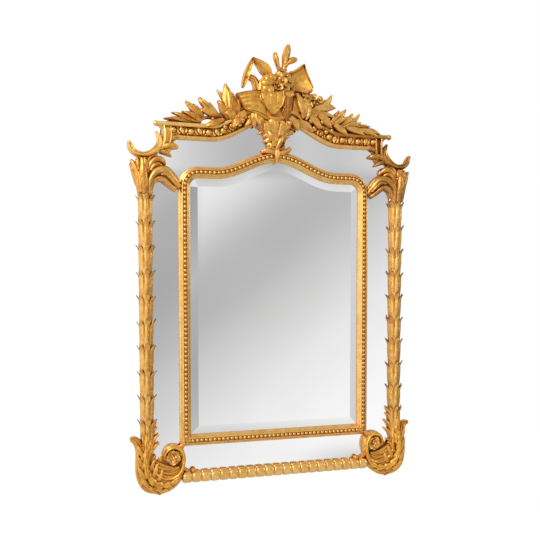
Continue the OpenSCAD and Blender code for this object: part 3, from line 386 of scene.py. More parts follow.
def wood(name, light, dark, stretch, wash=None):
    """Bare wood with its grain drawn out. A wash is the ochre paint on the sides of the frame."""
    mat, nt, sh = new_material(name, Roughness=0.75)
    grain = noise(nt, 2.2, 6.0, 0.65, stretch)
    tone = ramp(nt, grain, [(0.32, dark), (0.68, light)])
    if wash:
        parts = new_node(nt, "SeparateXYZ", new_node(nt, "NewGeometry").outputs["Normal"])
        side = new_node(nt, "Math", parts.outputs["X"])
        side.operation = "ABSOLUTE"
        tone = mix(nt, tone, wash, ramp(nt, side.outputs[0], [(0.6, BLACK), (0.8, (0.85, 0.85, 0.85))]))
    blotch = ramp(nt, noise(nt, 7.0, 4.0, 0.6), [(0.3, (0.62, 0.60, 0.58)), (0.75, WHITE)])
    feed(nt, sh.inputs["Base Color"], mix(nt, tone, blotch, 0.8, "MULTIPLY"))
    bump(nt, sh, grain, 0.35, 0.0008)
    return mat


def mirror_glass():
    mat, nt, sh = new_material("mirror_plate", Metallic=1.0, Roughness=0.04)
    haze = ramp(nt, noise(nt, 5.0, 2.0, 0.5), [(0.3, (0.90, 0.90, 0.895)), (0.7, (0.93, 0.93, 0.93))])
    feed(nt, sh.inputs["Base Color"], haze)
    return mat


def steel(name, col, rough):
    mat, nt, sh = new_material(name, Metallic=0.85, Roughness=rough)
    tone = ramp(nt, noise(nt, 220.0, 4.0, 0.65), [(0.35, tuple(c * 0.6 for c in col)), (0.7, col)])
    feed(nt, sh.inputs["Base Color"], tone)
    bump(nt, sh, noise(nt, 400.0, 3.0, 0.6), 0.2, 0.0004)
    return mat


ALONG_X = (2, 60, 60)
ALONG_Z = (60, 60, 2)
GILT = gold("gilt_moulding", (0.96, 0.60, 0.190), (0.79, 0.39, 0.078), (0.30, 0.105, 0.010))
# A lighter copy of the gilding: painted light on the left half of the top rail's bead and the left upper corner.
LIT_LEFT = gold("gilt_lit_left", (1.0, 0.69, 0.225), (0.90, 0.50, 0.11), (0.28, 0.10, 0.011), 0.008, (0.30, 0.42), metal=0.65)
PALE = gold("gilt_leafwork", (0.92, 0.54, 0.145), (0.66, 0.30, 0.045), (0.23, 0.072, 0.006), 0.024, tooled=0.6)
ORNAMENT = gold(
    "gilt_ornament", (0.90, 0.475, 0.090), (0.62, 0.265, 0.028), (0.22, 0.064, 0.005), 0.026, stops=(0.2, 0.62, 0.97),
    tooled=0.9, metal=0.7)
WARM = gold(
    "gilt_amber", (0.95, 0.53, 0.084), (0.75, 0.34, 0.035), (0.27, 0.082, 0.006), 0.020, tooled=0.8, metal=0.55)
# A darker copy of the gilding: painted shade for the basket, which stands in shadow beside the shield.
SHADE = gold("gilt_shade", (0.50, 0.21, 0.028), (0.36, 0.135, 0.014), (0.16, 0.044, 0.004), 0.022, tooled=0.6)
# A darker copy of the gilding: painted shade for the bouquet, which sits deep among the crest's forms.
BOUQUET_SHADE = gold("gilt_shaded_bouquet", (0.74, 0.37, 0.085), (0.46, 0.19, 0.026), (0.18, 0.050, 0.005), 0.016, (0.34, 0.48))
# A darker copy of the gilding: painted shade on each foot's dish, outer curl and rail curl.
FOOT_SHADE = gold("gilt_shaded_foot", (0.80, 0.39, 0.048), (0.54, 0.22, 0.021), (0.32, 0.11, 0.009), 0.016, metal=0.5)
# A darker copy of the gilding: painted shade on the right-hand corners, capital, bracket and top rail bead.
RIGHT_SHADE = gold("gilt_shaded_right", (0.68, 0.35, 0.075), (0.44, 0.19, 0.026), (0.17, 0.050, 0.005), 0.026, tooled=0.8)
BURNISHED = gold(
    "gilt_burnished", (0.88, 0.53, 0.145), (0.72, 0.34, 0.055), (0.34, 0.125, 0.014), 0.008, (0.30, 0.44))
GLASS = mirror_glass()
CARCASS = wood("carcass_wood", (0.26, 0.155, 0.075), (0.13, 0.07, 0.032), ALONG_Z, wash=(0.50, 0.28, 0.07))
CARCASS_X = wood("carcass_wood_across", (0.26, 0.155, 0.075), (0.13, 0.07, 0.032), ALONG_X)
PANEL = wood("panel_wood", (0.34, 0.215, 0.11), (0.19, 0.11, 0.05), ALONG_Z)
DOWEL = wood("dowel_wood", (0.50, 0.34, 0.18), (0.33, 0.2, 0.1), ALONG_Z)
IRON = steel("hanger_iron", (0.16, 0.15, 0.145), 0.45)
SCREW = steel("screw_steel", (0.30, 0.29, 0.28), 0.38)

for mat, nodes in (
        (CARCASS, ("back_left_stile", "back_right_stile")),
        (CARCASS_X, ("back_bottom_rail", "back_top_rail", "crest_board")),
        (PANEL, ("back_panel",)), (DOWEL, ("crest_dowels",)),
        (GLASS, ("left_margin_plate", "right_margin_plate", "bottom_margin_plate", "top_left_margin_plate",
                 "top_right_margin_plate")),
        (GILT, ("left_pilaster", "right_pilaster")),
        (IRON, ("left_hanger", "right_hanger", "left_ring", "right_ring")),
        (SCREW, ("frame_screws", "hanger_screws"))):
    for node in nodes:
        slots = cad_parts[node].data.materials
        slots.clear()
        slots.append(mat)

# Inner frame
FLANK = [(0, 2), (0.4, 3.4), (1.6, 4.4), (3.4, 4.9), (5.2, 5.9), (6.6, 7.8), (7.6, 10.4), (8.3, 13.2), (9.2, 15.8),
         (10.4, 17.4), (11.6, 18.0), (12.4, 17.8), (13.1, 16.9)]
half_w = INNER_W / 2
inner_profile = ([(-3, 0), (-3, GLASS_FACE), (-half_w, GLASS_FACE)] + [(-half_w + u, 4 + v) for u, v in FLANK]
                 + [(-5.5, 15.6), (5.5, 15.6)] + [(half_w - u, 4 + v) for u, v in FLANK[::-1]]
                 + [(half_w, GLASS_FACE), (3, GLASS_FACE), (3, 0)])
for side, name in SIDES:
    mitre = [(side * (PEARL_X - u), v, LOW_Z + u) for u, v in inner_profile]
    upright = [[(x, v, z) for x, v, _ in mitre] for z in np.linspace(MITRE_TOP, SPRING_Z, 12)]
    Shape().tube([mitre] + upright).piece("inner_%s_bar" % name, GILT, MOULDING, "inner_%s_moulding" % name)
lying = [[(x * (PEARL_X - u), v, LOW_Z + u) for u, v in inner_profile] for x in np.linspace(-1, 1, 13)]
Shape().tube(lying).piece("inner_bottom_bar", GILT, MOULDING, "inner_bottom_moulding")
head = head_line()
Shape().sweep(head, inner_profile).piece("inner_head", GILT, MOULDING, "inner_top_moulding")


def pearl(shape, x, z, r=6.5, v=17.4):
    shape.tube([disc(x, v + r * math.sin(e), z, r * math.cos(e), 14) for e in np.radians([-20, 8, 30, 52, 72, 86])])


# Pearls on their strips
STRIP = [(-5.2, 15.7), (-5.2, 17.2), (5.2, 17.2), (5.2, 15.7)]
for side, name in SIDES:
    shape = Shape()
    ends = ((175.0, 1), (SPRING_Z - 0.3, 0))
    shape.tube([[(side * (PEARL_X - u), v, z - cut * u) for u, v in STRIP] for z, cut in ends])
    for z in np.arange(LOW_Z + PEARL_PITCH, SPRING_Z - 4, PEARL_PITCH):
        pearl(shape, side * PEARL_X, z)
    shape.piece("pearls_%s" % name, BURNISHED, BRIGHT, "%s_pearls" % name)
shape = Shape()
shape.tube([[(side * (PEARL_X - 0.99 * u), v, LOW_Z + u) for u, v in STRIP] for side in (-1, 1)])
for i in range(-20, 21):
    pearl(shape, i * PEARL_PITCH, LOW_Z)
shape.piece("pearls_bottom", BURNISHED, BRIGHT, "bottom_pearls")
shape = Shape().sweep(head, STRIP)
run = np.concatenate([[0], np.cumsum(np.linalg.norm(np.diff(head[:, :2], axis=0), axis=1))])
count = int((run[-1] - 8) / PEARL_PITCH)
for i in range(count + 1):
    at = run[-1] / 2 + (i - count / 2) * PEARL_PITCH
    pearl(shape, np.interp(at, run, head[:, 0]), np.interp(at, run, head[:, 1]))
shape.piece("pearls_head", BURNISHED, BRIGHT, "top_pearls")

# Centre plate, with a smooth bevel round it
outline = np.concatenate([[[-PEARL_X, LOW_Z, -1, -1]], head, [[PEARL_X, LOW_Z, 1, -1]]])
BEVEL = ((4, 0), (4, 4), (20, 4), (44, 6), (46, 6))
rings = [np.insert(outline[:, :2] - u * outline[:, 2:], 1, v, axis=1) for u, v in BEVEL]
Shape().tube(rings).piece("plate_centre", GLASS, "mirror_plate", "centre_plate", angle=2.0)

# Top rail
TOP_PROFILE = [
    (0, 4.3), (0, 10), (0.6, 12.3), (2, 14.4), (4, 15.9), (6.5, 16.6), (9, 16.4), (11.2, 15.2), (12.8, 13.2),
    (14, 10.8), (15.4, 9), (17.5, 8), (37.5, 8), (38.4, 10), (38.9, 17.4), (39.6, 19.2), (41, 20.8), (43.5, 21.8),
    (46.5, 22), (49, 21.2), (51, 19.4), (52, 16.8), (52, 0), (9, 0), (9, 4.3)]
rail = Shape().sweep(top_line(np.linspace(-RAIL_END, RAIL_END, 150)), [(-u, v) for u, v in TOP_PROFILE])
rail.piece("top_rail_moulding", GILT, MOULDING, "top_rail")

TOP_BEAD = [
    (39.4, 16), (39.6, 20.2), (40.8, 22.6), (43.2, 24.1), (46.2, 24.4), (49.2, 23.6), (51.4, 21.6), (52.4, 18.8),
    (52.4, 14)]
# The bead's left half takes the lighter copy (painted light), its right half the darker copy (painted shade).
for name, start, end, material in (("left", -402, -20, LIT_LEFT), ("right", -20, 402, RIGHT_SHADE)):
    bead = Shape().sweep(top_line(np.linspace(start, end, 84)), [(-u, v) for u, v in TOP_BEAD])
    bead.piece("top_rail_bead_" + name, material, MOULDING, "top_rail")

# Bottom rail: ribs turned on a bar
RIB = 31
RIB_SHAPE = [
    (0.0, 14.6), (0.05, 14.9), (0.08, 17.2), (0.14, 18.3), (0.3, 18.9), (0.5, 19.0), (0.7, 18.9), (0.86, 18.3),
    (0.92, 17.2), (0.95, 14.9)]
ribs = int((RAIL_END - 22) * 2 // RIB)
a = np.radians(np.linspace(0, 360, 28, endpoint=False))
rings = []
for i in range(ribs):
    for s, r in RIB_SHAPE:
        z = RAIL_Z + r * np.cos(a)
        v = np.maximum(14 + r * np.sin(a), np.where(z > RAIL_Z + 10, GLASS_FACE, 0.0))
        rings.append(np.stack([np.full(28, (i + s - ribs / 2) * RIB), v, z], 1))
Shape().tube(rings).piece("ribbed_rail", GILT, MOULDING, "bottom_rail", angle=50)


# Sections for scrolls
def symmetric(half):
    """A section from its left half and its middle."""
    return half + [(-u, h) for u, h in half[-2::-1]]


ROLL = symmetric([
    (-1, 0), (-1, 0.45), (-0.93, 0.68), (-0.8, 0.82), (-0.66, 0.84), (-0.55, 0.74), (-0.4, 0.78), (-0.2, 0.95),
    (0, 1.0)])
CHANNEL = symmetric([
    (-1, 0), (-1, 0.6), (-0.94, 0.86), (-0.8, 1.0), (-0.64, 0.96), (-0.5, 0.86), (-0.25, 0.78), (0, 0.76)])
FLAT = symmetric([(-1, 0), (-1, 0.86), (-0.9, 1.0), (0, 1.0)])
ROUND = [(math.cos(e) * -1, max(0.0, math.sin(e))) for e in np.radians(np.linspace(0, 180, 13))]


def both(shape, name, material, slot, node, dz, dx=PILASTER_X, right=None, angle=SHARP_ANGLE):
    """The right-hand piece of a pair and its mirror image on the left. A right material, where given, is the darker
    copy that paints shade on the right-hand piece.
    """
    shape.shifted(dx, dz)
    shape.piece("right_" + name, right or material, slot, "right_" + node, angle)
    shape.mirrored().piece("left_" + name, material, slot, "left_" + node, angle)


# Pilaster sleeves: ten of five folded leaves round the core, their tips turned out
SLEEVES = 10
sleeve_low = RAIL_Z + 112
pitch = (SPRING_Z - 36 - sleeve_low) / SLEEVES
shape = Shape()
deg = np.linspace(-98, 98, 57)
ang = np.radians(deg)
petal = np.abs(np.cos(np.pi * deg / 50)) ** 0.75
ridge = 2.2 * np.exp(-(deg / 17) ** 2)
s = np.linspace(0, 1, 17)[:, None]
for k in range(SLEEVES):
    wob = np.interp(deg, (-98, -50, 0, 50, 98), [random.uniform(-0.07, 0.07) for _ in range(5)])
    z = sleeve_low + pitch * (k + s * (0.80 + 0.27 * petal + wob))
    r = 19.8 + 3.0 * s + 1.8 * np.sin(np.pi * s) - 4.0 * (1 - petal) * (0.4 + 0.7 * s)
    r = r + ridge * np.sin(np.pi * np.minimum(1, 0.15 + s * 0.9))
    r = r + 6.5 * np.maximum(0.0, (s - 0.76) / 0.24) ** 1.7 * petal * (1 + 0.5 * np.abs(np.sin(ang)))
    outer, inner = (hoop(0, PILASTER_V, z, q, q, ang, CARVING_BACK) for q in (r, r - 2.4 - 2.2 * (1 - s)))
    shape.tube(np.concatenate([outer, inner[:, ::-1]], 1))
both(shape, "sleeves", PALE, CARVING, "pilaster_leaves", 0, angle=50)

# Berries and slanting leaves in the top rail's hollow
BERRY_PITCH = 57.5
HOLLOW = 27
BERRY_LEAVES = [
    ((34, -11), (24, 14), 15, 11), ((20, -12), (13, 9), 9, 8), ((46, 12), (40, -10), 10, 8),
    ((10, 8), (18, 13), 8, 9), ((-7, -8), (-13, -11), 8, 8)]
for side, name in SIDES:
    shape = Shape()
    for x in np.arange(RAIL_END - 11, 100, -BERRY_PITCH):
        (px, pz, nx, nz), = top_line([x])

        def at(along, out):
            return side * (px + (HOLLOW + out) * nx - along * nz), pz + (HOLLOW + out) * nz + along * nx

        cx, cz = at(0, 1.5 * random.uniform(-1, 1))
        shape.ball(cx, 11, cz, 10.8, 0.95, 14, 9)
        for base, tip, width, v in BERRY_LEAVES:
            shape.leaf((*at(*base), *at(*tip), width, v), 3, 6, 1, 0.0, veins=0.6, back=4, nt=9)
        sx, sz = at(21, -8)
        shape.ball(sx, 10, sz, 4.4, 1.0, 10, 6)
    shape.piece("%s_berries" % name, BURNISHED, CARVING, "%s_berry_band" % name)

# Upper corners, from the pilaster's middle at the spring line
crescent = [
    [49, 131, 6, 14], [44, 116, 10, 18], [36, 104, 9.5, 22], [21, 95, 9.5, 25], [1, 93, 10, 26], [-18, 99, 11, 27],
    [-36, 112, 13, 27], [-47, 128, 13, 25], [-48, 147, 10, 21], [-41, 160, 6, 17], [-35, 170, 2.5, 12]]
ear = [[-50, 112, 7, 20], [-59, 132, 8, 24], [-62, 150, 8, 26], [-62, 170, 7.5, 26], [-59, 190, 6, 22]]
RIDGE = [
    (-1, 0), (-1, 0.74), (-0.92, 0.88), (-0.78, 0.88), (-0.62, 0.79), (-0.4, 0.75), (-0.18, 0.78), (0.0, 0.92),
    (0.14, 1.0), (0.28, 1.0), (0.44, 0.90), (0.68, 0.76), (0.9, 0.58), (1, 0.36), (1, 0)]
shape = Shape().band(crescent, RIDGE, 0, 7).band(ear, ROUND, 0, 7)
shape.band([[-74, 116, 4, 18], [-78, 136, 5, 23], [-82, 156, 5, 24], [-81, 186, 4, 20]], ROUND, 0, 6)
shape.boss([
    (-52, 108), (-60, 192), (-92, 196), (-94, 150), (-86, 128), (-80, 106)], (-74, 150),
    [(1.0, 0.4), (1.0, 10), (0.9, 13), (0.05, 13)])
shape.band([[-40, 192, 4, 20], [-50, 188, 6, 22], [-58, 178, 5, 20]], ROUND, 0, 5)
shape.ball(49, 9, 130, 7).ball(-33, 18, 193, 9).ball(-35, 8, 168, 4)
# The left corner takes the lighter copy (painted light), the right one the darker copy (painted shade).
both(shape, "scroll_corner", LIT_LEFT, MOULDING, "corner_scroll", SPRING_Z, right=RIGHT_SHADE)
shape = Shape().fronds([
    [[-54, 121, 8, 14, 7], [-72, 126, 10, 17, 9], [-90, 126, 9, 17, 8], [-105, 122, 4, 13, 5]],
    [[-48, 108, 7, 12, 7], [-62, 106, 8, 13, 7], [-76, 98, 5, 11, 5], [-84, 93, 2, 10, 3]],
    [[-76, 146, 7, 12, 7], [-90, 150, 8, 15, 7], [-102, 156, 6, 14, 6], [-109, 162, 3, 12, 4]]], back=8, veins=0.6)
shape.band([[24, 86, 7, 17], [8, 84, 10, 17], [-12, 86, 12, 17], [-36, 98, 14, 17]], FLAT, 0, 5)
both(shape, "corner_leaves", WARM, MOULDING, "corner_scroll", SPRING_Z, right=RIGHT_SHADE)

shape = Shape().fronds([
    [[16, -26, 9, 14, 8], [20, 8, 11, 18, 9], [26, 40, 10, 20, 9], [35, 62, 8, 18, 8], [45, 78, 3, 15, 4]],
    [[26, 0, 5, 6, 6], [32, 26, 7, 8, 7], [38, 48, 7, 9, 7], [47, 66, 2.5, 8, 4]],
    [[3, -27, 10, 25, 8], [5, 2, 13, 29, 10], [8, 30, 14, 31, 11], [9, 54, 11, 30, 9], [12, 82, 5, 25, 5]],
    [[22, 44, 7, 24, 7], [24, 64, 8, 25, 7], [26, 82, 4, 22, 4]],
    [[-2, 48, 8, 26, 7], [0, 66, 9, 28, 7], [4, 84, 4, 24, 4]],
    [[14, -24, 4, 25, 5], [17, 6, 5, 28, 6], [21, 30, 4, 27, 5], [27, 48, 2, 25, 3]]],
    (0, 0, 0, 1, 1), cut=0.28, veins=0.35)
b = np.radians(np.linspace(-92, 92, 25))
shape.tube(
    [hoop(0, PILASTER_V, z, r, r, b, CARVING_BACK) for z,
    r in ((-27, 22), (-22, 25), (-16, 23), (-4, 21), (20, 21), (50, 22), (76, 18))])
both(shape, "capital_leaves", ORNAMENT, CARVING, "capital", SPRING_Z, right=RIGHT_SHADE)

shape = Shape().fronds([
    [[-12, -32, 7, 18, 9], [-11, 0, 9, 23, 11], [-16, 22, 10, 26, 12], [-29, 39, 11, 26, 12], [-46, 48, 12, 25, 12],
     [-64, 47, 12, 22, 12], [-79, 34, 11, 19, 11], [-94, 16, 10, 15, 10], [-110, -4, 8, 11, 8]],
    [[-16, -14, 7, 14, 9], [-22, 10, 9, 17, 11], [-36, 21, 10, 18, 11], [-52, 23, 10, 17, 11], [-67, 12, 10, 15, 10],
     [-82, -1, 9, 12, 9], [-98, -13, 7, 8, 7]],
    [[-46, 34, 5, 26, 6], [-62, 36, 6, 26, 7], [-78, 24, 6, 22, 7], [-96, 4, 5, 17, 6]],
    [[-64, 58, 6, 14, 7], [-80, 46, 7, 13, 7], [-96, 28, 6, 11, 6], [-109, 12, 4, 8, 5]]], cut=0.3, veins=0.3)
shape.boss([
    (-8, -24), (-6, 60), (-30, 82), (-56, 68), (-74, 44), (-108, 2), (-98, -12), (-70, 6), (-46, 14), (-22, 0)],
    (-40, 38), [(1.0, 0.4), (0.98, 10), (0.9, 14), (0.5, 15), (0.05, 15)])
shape.band([
    [-16, -12, 8, 16], [-24, 18, 10, 21], [-40, 32, 10, 23], [-58, 34, 10, 22], [-76, 22, 10, 19], [-100, -4, 8, 13]],
    FLAT, 0, 6)
both(shape, "bracket_leaves", PALE, CARVING, "bracket", SPRING_Z, right=RIGHT_SHADE)
shape = Shape().fronds([
    [[-6, 34, 8, 17, 8], [-13, 58, 10, 20, 9], [-27, 77, 10, 21, 9], [-44, 81, 10, 20, 9], [-57, 73, 8, 17, 7],
     [-62, 63, 4, 13, 4]],
    [[-16, 44, 6, 21, 6], [-26, 60, 7, 23, 7], [-40, 66, 7, 22, 7], [-53, 58, 5, 19, 5]],
    [[-26, 44, 6, 22, 6], [-38, 54, 6, 23, 6], [-50, 54, 5, 21, 5], [-58, 48, 3, 18, 4]],
    [[-4, 52, 6, 20, 6], [-8, 70, 7, 22, 6], [-16, 86, 5, 20, 5], [-28, 92, 3, 17, 4]]], cut=0.3, veins=0.5)
shape.band([[-2, 30, 9, 14], [-12, 56, 12, 16], [-26, 68, 14, 16], [-46, 66, 10, 14]], FLAT, 0, 5)
both(shape, "bracket_curls", ORNAMENT, CARVING, "bracket", SPRING_Z)

# Lower corners, from the pilaster's middle at the bottom rail's middle
scroll = [
    [53, 131, 8, 14], [42, 130, 12, 18], [31, 119, 14, 22], [25, 100, 14, 24], [22, 74, 15, 26], [20, 48, 17, 28],
    [14, 22, 19, 30], [1, 0, 19, 30], [-16, -16, 19, 30], [-38, -23, 19, 30], [-60, -18, 17, 30], [-82, -5, 14, 30],
    [-98, 15, 12, 30], [-108, 38, 10, 30], [-111, 62, 9, 30], [-103, 86, 9, 30], [-87, 98, 9, 30], [-68, 97, 8, 29],
    [-55, 86, 7, 28], [-50, 68, 6, 26], [-53, 54, 5, 22]]
shape = Shape().band([[a, b, c, 0.76 * d] for a, b, c, d in scroll], ROUND, 0, 5)
shape.band([
    [8, 116, 20, 20], [14, 70, 24, 22], [12, 20, 26, 22], [0, -10, 26, 22], [-24, -22, 24, 22], [-56, -22, 22, 22],
    [-88, -4, 18, 22], [-106, 20, 10, 20]], FLAT, 0, 6)
shape.band([
    [-12, 86, 4, 24], [-11, 62, 7, 28], [-15, 38, 9, 31], [-29, 15, 10, 32], [-50, 3, 10, 32], [-72, 2, 10, 32],
    [-93, 10, 10, 34], [-107, 28, 9, 36], [-113, 50, 9, 38], [-113, 72, 9, 38], [-105, 91, 9, 38], [-90, 101, 9, 38],
    [-73, 101, 9, 37], [-59, 91, 8, 35], [-52, 75, 7, 31], [-55, 60, 5, 26]], ROUND, 0, 6)
shape.fronds([
    [[8, 152, 4, 24, 6], [8, 122, 8, 28, 8], [8, 92, 10, 30, 9], [10, 62, 11, 32, 9], [6, 32, 12, 32, 9],
     [-6, 6, 12, 32, 9], [-26, -12, 12, 31, 9], [-50, -18, 11, 29, 8], [-74, -13, 10, 28, 8], [-96, 2, 8, 26, 7],
     [-110, 26, 4, 26, 5]],
    [[24, 118, 6, 20, 6], [20, 90, 8, 24, 7], [22, 62, 7, 26, 7], [32, 42, 3, 26, 4]],
    [[24, 66, 6, 24, 6], [20, 36, 8, 26, 7], [18, 8, 7, 26, 7], [24, -14, 3, 24, 4]],
    [[16, 14, 7, 26, 6], [4, -12, 8, 27, 7], [-14, -28, 7, 26, 6], [-36, -36, 3, 24, 4]],
    [[-14, -20, 7, 26, 6], [-38, -32, 8, 26, 6], [-62, -32, 7, 24, 6], [-84, -20, 3, 22, 4]],
    [[16, 74, 6, 26, 6], [23, 90, 8, 28, 6], [29, 104, 6, 27, 5], [33, 115, 2, 25, 3]],
    [[16, 40, 6, 27, 6], [23, 56, 8, 30, 6], [29, 70, 6, 29, 5], [33, 82, 2, 27, 3]],
    [[14, 8, 6, 28, 6], [21, 24, 8, 31, 6], [28, 38, 6, 30, 5], [32, 50, 2, 28, 3]],
    [[4, -16, 6, 28, 6], [12, -4, 8, 31, 6], [20, 8, 6, 30, 5], [25, 19, 2, 28, 3]]], (9, 3, 3, 3, 3), cut=0.3)
for lobes, *q in ((3, -37, -18, -37, -51, 60, 14), (2, 4, 2, 22, -24, 30, 12), (2, -66, -10, -70, -32, 34, 12)):
    shape.leaf(q, 2, 10, lobes, 0.25)
both(shape, "scroll_foot", WARM, MOULDING, "foot_scroll", RAIL_Z)
shape = Shape().band([
    [55, 131, 6, 15], [46, 132, 10, 19], [36, 126, 12, 23], [31, 114, 11, 25], [29, 98, 9, 28], [29, 72, 9, 30],
    [28, 46, 10, 32], [23, 20, 11, 33], [13, -5, 12, 33], [-7, -26, 13, 32], [-28, -38, 12, 30], [-38, -50, 5, 20]],
    RIDGE, 0, 6)
shape.frond([
    [-12, 60, 9, 19, 2], [-30, 40, 17, 23, 2], [-54, 25, 21, 26, 1], [-80, 18, 21, 28, 1], [-102, 26, 14, 28, 1]],
    veins=1.7)
shape.band([[-2, 44, 10, 22], [-14, 24, 13, 26], [-30, 4, 14, 27], [-54, -7, 14, 27], [-84, 0, 12, 26]], FLAT, 0, 6)
for line in ([
        (-12, 60), (-26, 46), (-46, 36), (-66, 33), (-90, 37)],
        [(-18, 46), (-34, 31), (-55, 21), (-77, 19), (-99, 28)],
        [(-24, 32), (-40, 17), (-60, 9), (-82, 8), (-102, 18)]):
    shape.band([[x, z, w, h] for (x, z), w, h in zip(line, (2, 5, 7, 6, 3), (6, 10, 12, 13, 12))], ROUND, 19, 6)
shape.band([[-110, 30, 10, 19], [-123, 21, 9, 19], [-136, 15, 8, 18], [-148, 16, 8, 18]], ROUND, 0, 6)
shape.ball(-148, 14, 20, 10)
shape.frond([[-98, 94, 7, 24, 7], [-110, 103, 7, 22, 6], [-120, 114, 3, 20, 4]])
both(shape, "foot_hollow", FOOT_SHADE, MOULDING, "foot_scroll", RAIL_Z)

shape = Shape()
for ring_r, w, v, n, off in ((24, 25, 18, 5, 0.1), (12, 15, 26, 4, 0.6)):
    for a in 2 * np.pi * (np.arange(n) + off) / n:
        c, s = math.cos(a), math.sin(a)
        petal = (3 * c, 3 * s, ring_r * c, ring_r * s, w, v)
        shape.leaf(petal, 3, 5, 1, 0.0, bend=3, curl=-3, cup=0.6, blunt=True, nt=9)
shape.ball(0, 30, 0, 6, 0.9, 14, 8)
shape.tube([disc(0, v, 0, r, 24) for v, r in ((CARVING_BACK, 27), (10, 24), (18, 15), (25, 7))])
both(shape, "rosette_petals", BURNISHED, BRIGHT, "rosette", RAIL_Z + 68, PILASTER_X - 81)

shape = Shape().band([[-8, 60, 11, 16], [-10, 100, 9, 12], [-13, 132, 7, 12], [-16, 172, 5, 12]], ROUND, CARVING_BACK)
shape.boss([
    (-112, 60), (-100, 90), (-76, 98), (-52, 84), (-30, 60), (-16, 30), (-30, 2), (-60, -8), (-90, 6), (-108, 32)],
    (-66, 42), [(1.0, 0.4), (1.0, 6), (0.9, 9), (0.5, 9), (0.05, 9)])
shape.fronds([
    [[-14, 148, 6, 12, 6], [-17, 166, 6, 13, 6], [-22, 179, 5, 13, 6], [-30, 187, 3, 12, 5]],
    [[-12, 128, 6, 12, 6], [-15, 146, 7, 13, 6], [-21, 160, 5, 13, 6], [-30, 169, 3, 12, 5]],
    [[-10, 98, 8, 12, 6], [-14, 118, 8, 13, 6], [-23, 134, 6, 13, 6], [-37, 146, 3.5, 12, 5]],
    [[-8, 72, 8, 12, 7], [-12, 92, 8, 13, 7], [-22, 107, 6, 14, 6], [-37, 118, 3.5, 13, 5]],
    [[-8, 46, 8, 14, 7], [-13, 62, 7, 15, 7], [-19, 72, 5, 15, 6], [-26, 78, 3, 14, 5]],
    [[4, 60, 10, 26, 7], [2, 92, 11, 29, 8], [2, 122, 9, 29, 7], [4, 150, 5, 27, 5], [4, 170, 2, 26, 3]],
    [[12, 70, 7, 22, 6], [12, 100, 8, 22, 7], [14, 126, 6, 21, 6], [18, 148, 2, 20, 3]],
    [[-6, 34, 8, 22, 7], [-12, 50, 8, 24, 7], [-18, 62, 5, 23, 6], [-26, 68, 3, 21, 4]],
    [[-14, 12, 8, 24, 7], [-22, 32, 9, 26, 7], [-27, 48, 6, 25, 6], [-34, 56, 3, 22, 4]],
    [[-30, 0, 8, 24, 7], [-40, 16, 8, 26, 7], [-44, 30, 5, 25, 6], [-48, 40, 3, 22, 4]]],
    (0, 0, 0, 0, 0, 4, 2), cut=0.25)
both(shape, "foot_acanthus", WARM, CARVING, "foot_leaves", RAIL_Z)

# Sprays of laurel on the top rail, each side its own
LEFT_LEAVES = [
    (4, 0, [(-170, 1252, 7), (-180, 1273, 8), (-191, 1288, 6), (-203, 1302, 1.5)]),
    (6, 0, [(-150, 1214, 14), (-139, 1238, 15), (-135, 1260, 11), (-138, 1280, 3)]),
    (9, 0, [(-158, 1214, 15), (-151, 1246, 17), (-150, 1272, 12), (-154, 1295, 3)]),
    (12, 1, [(-162, 1212, 16), (-168, 1250, 20), (-171, 1286, 15), (-176, 1322, 2)]),
    (14, 0, [(-166, 1212, 12), (-182, 1236, 14), (-192, 1254, 9), (-201, 1267, 3)]),
    (12, 0, [(-200, 1214, 8), (-228, 1226, 11), (-250, 1232, 8), (-266, 1231, 2)]),
    (16, 2, [(-186, 1208, 8), (-212, 1224, 14), (-238, 1243, 15), (-254, 1258, 9), (-263, 1271, 2)]),
    (10, 0, [(-248, 1202, 9), (-262, 1226, 9), (-273, 1241, 5), (-282, 1251, 1.5)]),
    (14, 1, [(-250, 1200, 10), (-274, 1223, 12), (-294, 1244, 7), (-307, 1257, 1.5)]),
    (16, 0, [(-254, 1198, 9), (-282, 1212, 10), (-302, 1219, 6), (-319, 1224, 1.5)]),
    (13, 0, [(-262, 1196, 8), (-300, 1204, 9), (-330, 1214, 6), (-351, 1219, 1.5)]),
    (10, 0, [(-280, 1192, 6), (-315, 1197, 8), (-346, 1200, 6), (-376, 1199, 1.5)]),
    (25, 0, [(-186, 1204, 6), (-208, 1195, 10), (-228, 1187, 9), (-243, 1179, 3)]),
    (22, 0, [(-150, 1210, 12), (-160, 1222, 15), (-172, 1226, 10), (-182, 1224, 3)]),
    (26, 0, [(-128, 1216, 10), (-140, 1204, 13), (-150, 1192, 10), (-156, 1180, 3)]),
    (24, 0, [(-112, 1232, 10), (-126, 1222, 13), (-140, 1216, 9), (-152, 1216, 2)])]
